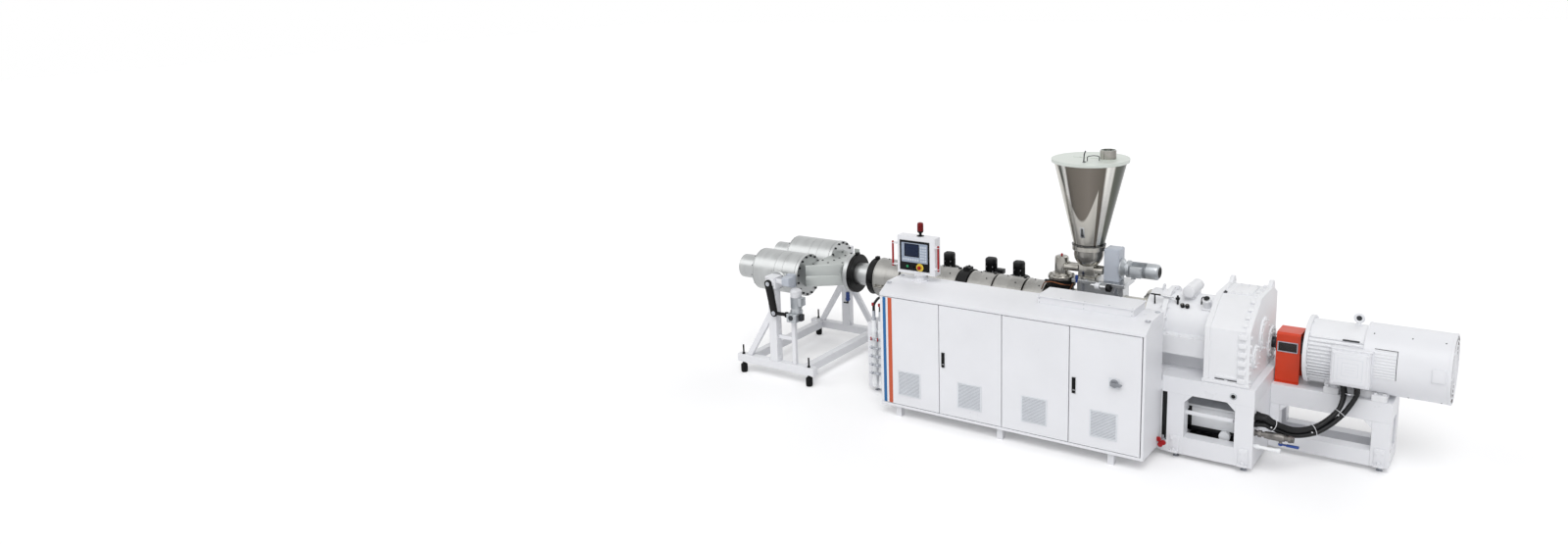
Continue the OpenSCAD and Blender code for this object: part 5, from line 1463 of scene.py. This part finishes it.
def die_stand():
    """Threaded feet and end caps of the stand."""
    s = Shape()
    thread = [(0, 9)]
    for k in range(48):
        thread += [(2 + 4 * k, 9), (4 + 4 * k, 7.6)]
    thread += [(194, 7), (195, 0)]
    foot = [(0, 28), (5, 33), (30, 35), (78, 35), (86, 30), (90, 16), (95, 15)]
    for x, y in itertools.product((-1777.5, -972.5), (-681, 681)):
        s.lathe((x, y, 95), UP, thread, 16)
        s.lathe((x, y, 0), UP, foot, 36)
        for z in (98, 192):
            s.lathe((x, y, z), UP, [(0, 17), (11, 17)], 6)
    s.piece("threaded_feet", "panel", replaces="stand_feet")
    s = Shape()
    for y in (-661, 661):
        for x in ((-1842.5, -1837.5), (-912.5, -907.5)):
            s.box(x, span(y, 38), (112, 188), 2)
        for x in (-1418, -1332):
            s.box(span(x, 8), span(y, 30), (190, 240), 3)
    s.box((-1330, -1225), (-700, -690), (1004, 1050), 2)
    s.piece("stand_caps", "white")


def stand_fittings():
    """Bearing caps and the small valve of the stand."""
    s = Shape()
    for side in (-1, 1):
        y, out = side * 721, (0, side, 0)
        s.lathe((TRUNNION_X, y, DIE_Z), out, [(0, 42), (6, 42), (9, 38)], 40)
        s.grid("hexagon", span(TRUNNION_X, 46), y, span(DIE_Z, 46), out, 9, 8)
    s.piece("bearing_caps", "white")
    x, y = -1330, 600
    s = Shape().rod((x, y, 476), (x, y, 572), 21, 4)
    s.ring((x, y, 488), (x, y, 506), 26, 20)
    s.box(span(x, 18), (y - 2, y + 18), (510, 540), 3)
    s.piece("stand_valve", "blue")
    s = Shape().rod((x, y - 2, 452), (x, y - 2, 478), 9)
    s.box((x - 54, x + 4), (y - 8, y + 4), (444, 458), 4)
    s.piece("stand_valve_handle", "gland")


def tilt_drive():
    """Gear motor, crank arm and terminal box that tilt the die heads."""
    x, y, z = -1110, -661, 706
    s = Shape().box((-1174, -1062), (-752, -622), (640, 728), 9, 3)
    s.lathe((x, y, 726), UP, [(0, 58), (4, 62), (22, 62), (26, 56), (44, 50), (160, 50), (162, 0)])
    fins(s, "z", (x, y), (774, 884), 51, 12, 2.8, 26)
    s.box((-1075, -1025), (-702, -620), (800, 884), 6)
    s.circle((-1118, -752, 690), FRONT, 38, 6, 6, 6)
    s.piece("gearmotor", "alu", replaces="drive_motor")
    s = Shape().lathe((x, y, 884), UP, [(0, 54), (3, 56), (58, 56), (70, 52), (78, 42), (80, 0)])
    s.ring((x, y, 930), (x, y, 940), 57.5, 54, 1)
    s.piece("gearmotor_cap", "tie", slot="motor_grey")
    s = Shape().lathe((-1118, -752, 690), FRONT, [(0, 26), (6, 26), (8, 22)], 36)
    s.box((-1060, -1030), (-700, -640), (650, 716), 6)
    s.piece("gearmotor_fittings", "dark")
    eyes = ((-1387, 996, 40, 0), (-1327, z, 36, 180))
    outline, screws = [], Shape()
    for eye_x, eye_z, r, start in eyes:
        for k in range(13):
            a, b = polar(r, start + 15 * k)
            outline.append((eye_x + a, eye_z + b))
        washer = [(0, 22), (3, 22), (4, 20), (4, 11), (9, 11), (10, 9)]
        screws.lathe((eye_x, -749, eye_z), FRONT, washer, 32)
    s = Shape().prism("y", (-750, -722), outline, 4)
    s.rod((-1327, -736, z), (-1172, -720, z), 18, 2)
    s.ring((-1200, -724, z), (-1174, -720, z), 28, 15)
    s.piece("crank_arm", "ring", slot="dark_steel", replaces="drive_arm")
    screws.piece("arm_eyes", "zinc")
    s = Shape().box((-1232, -1144), (-726, -640), (994, 1080), 7, 3)
    s.box((-1228, -1148), (-730, -724), (998, 1076), 3)
    s.piece("die_terminal_box", "feeder")


dies()
adaptor_trim()
die_stand()
tilt_drive()
stand_fittings()
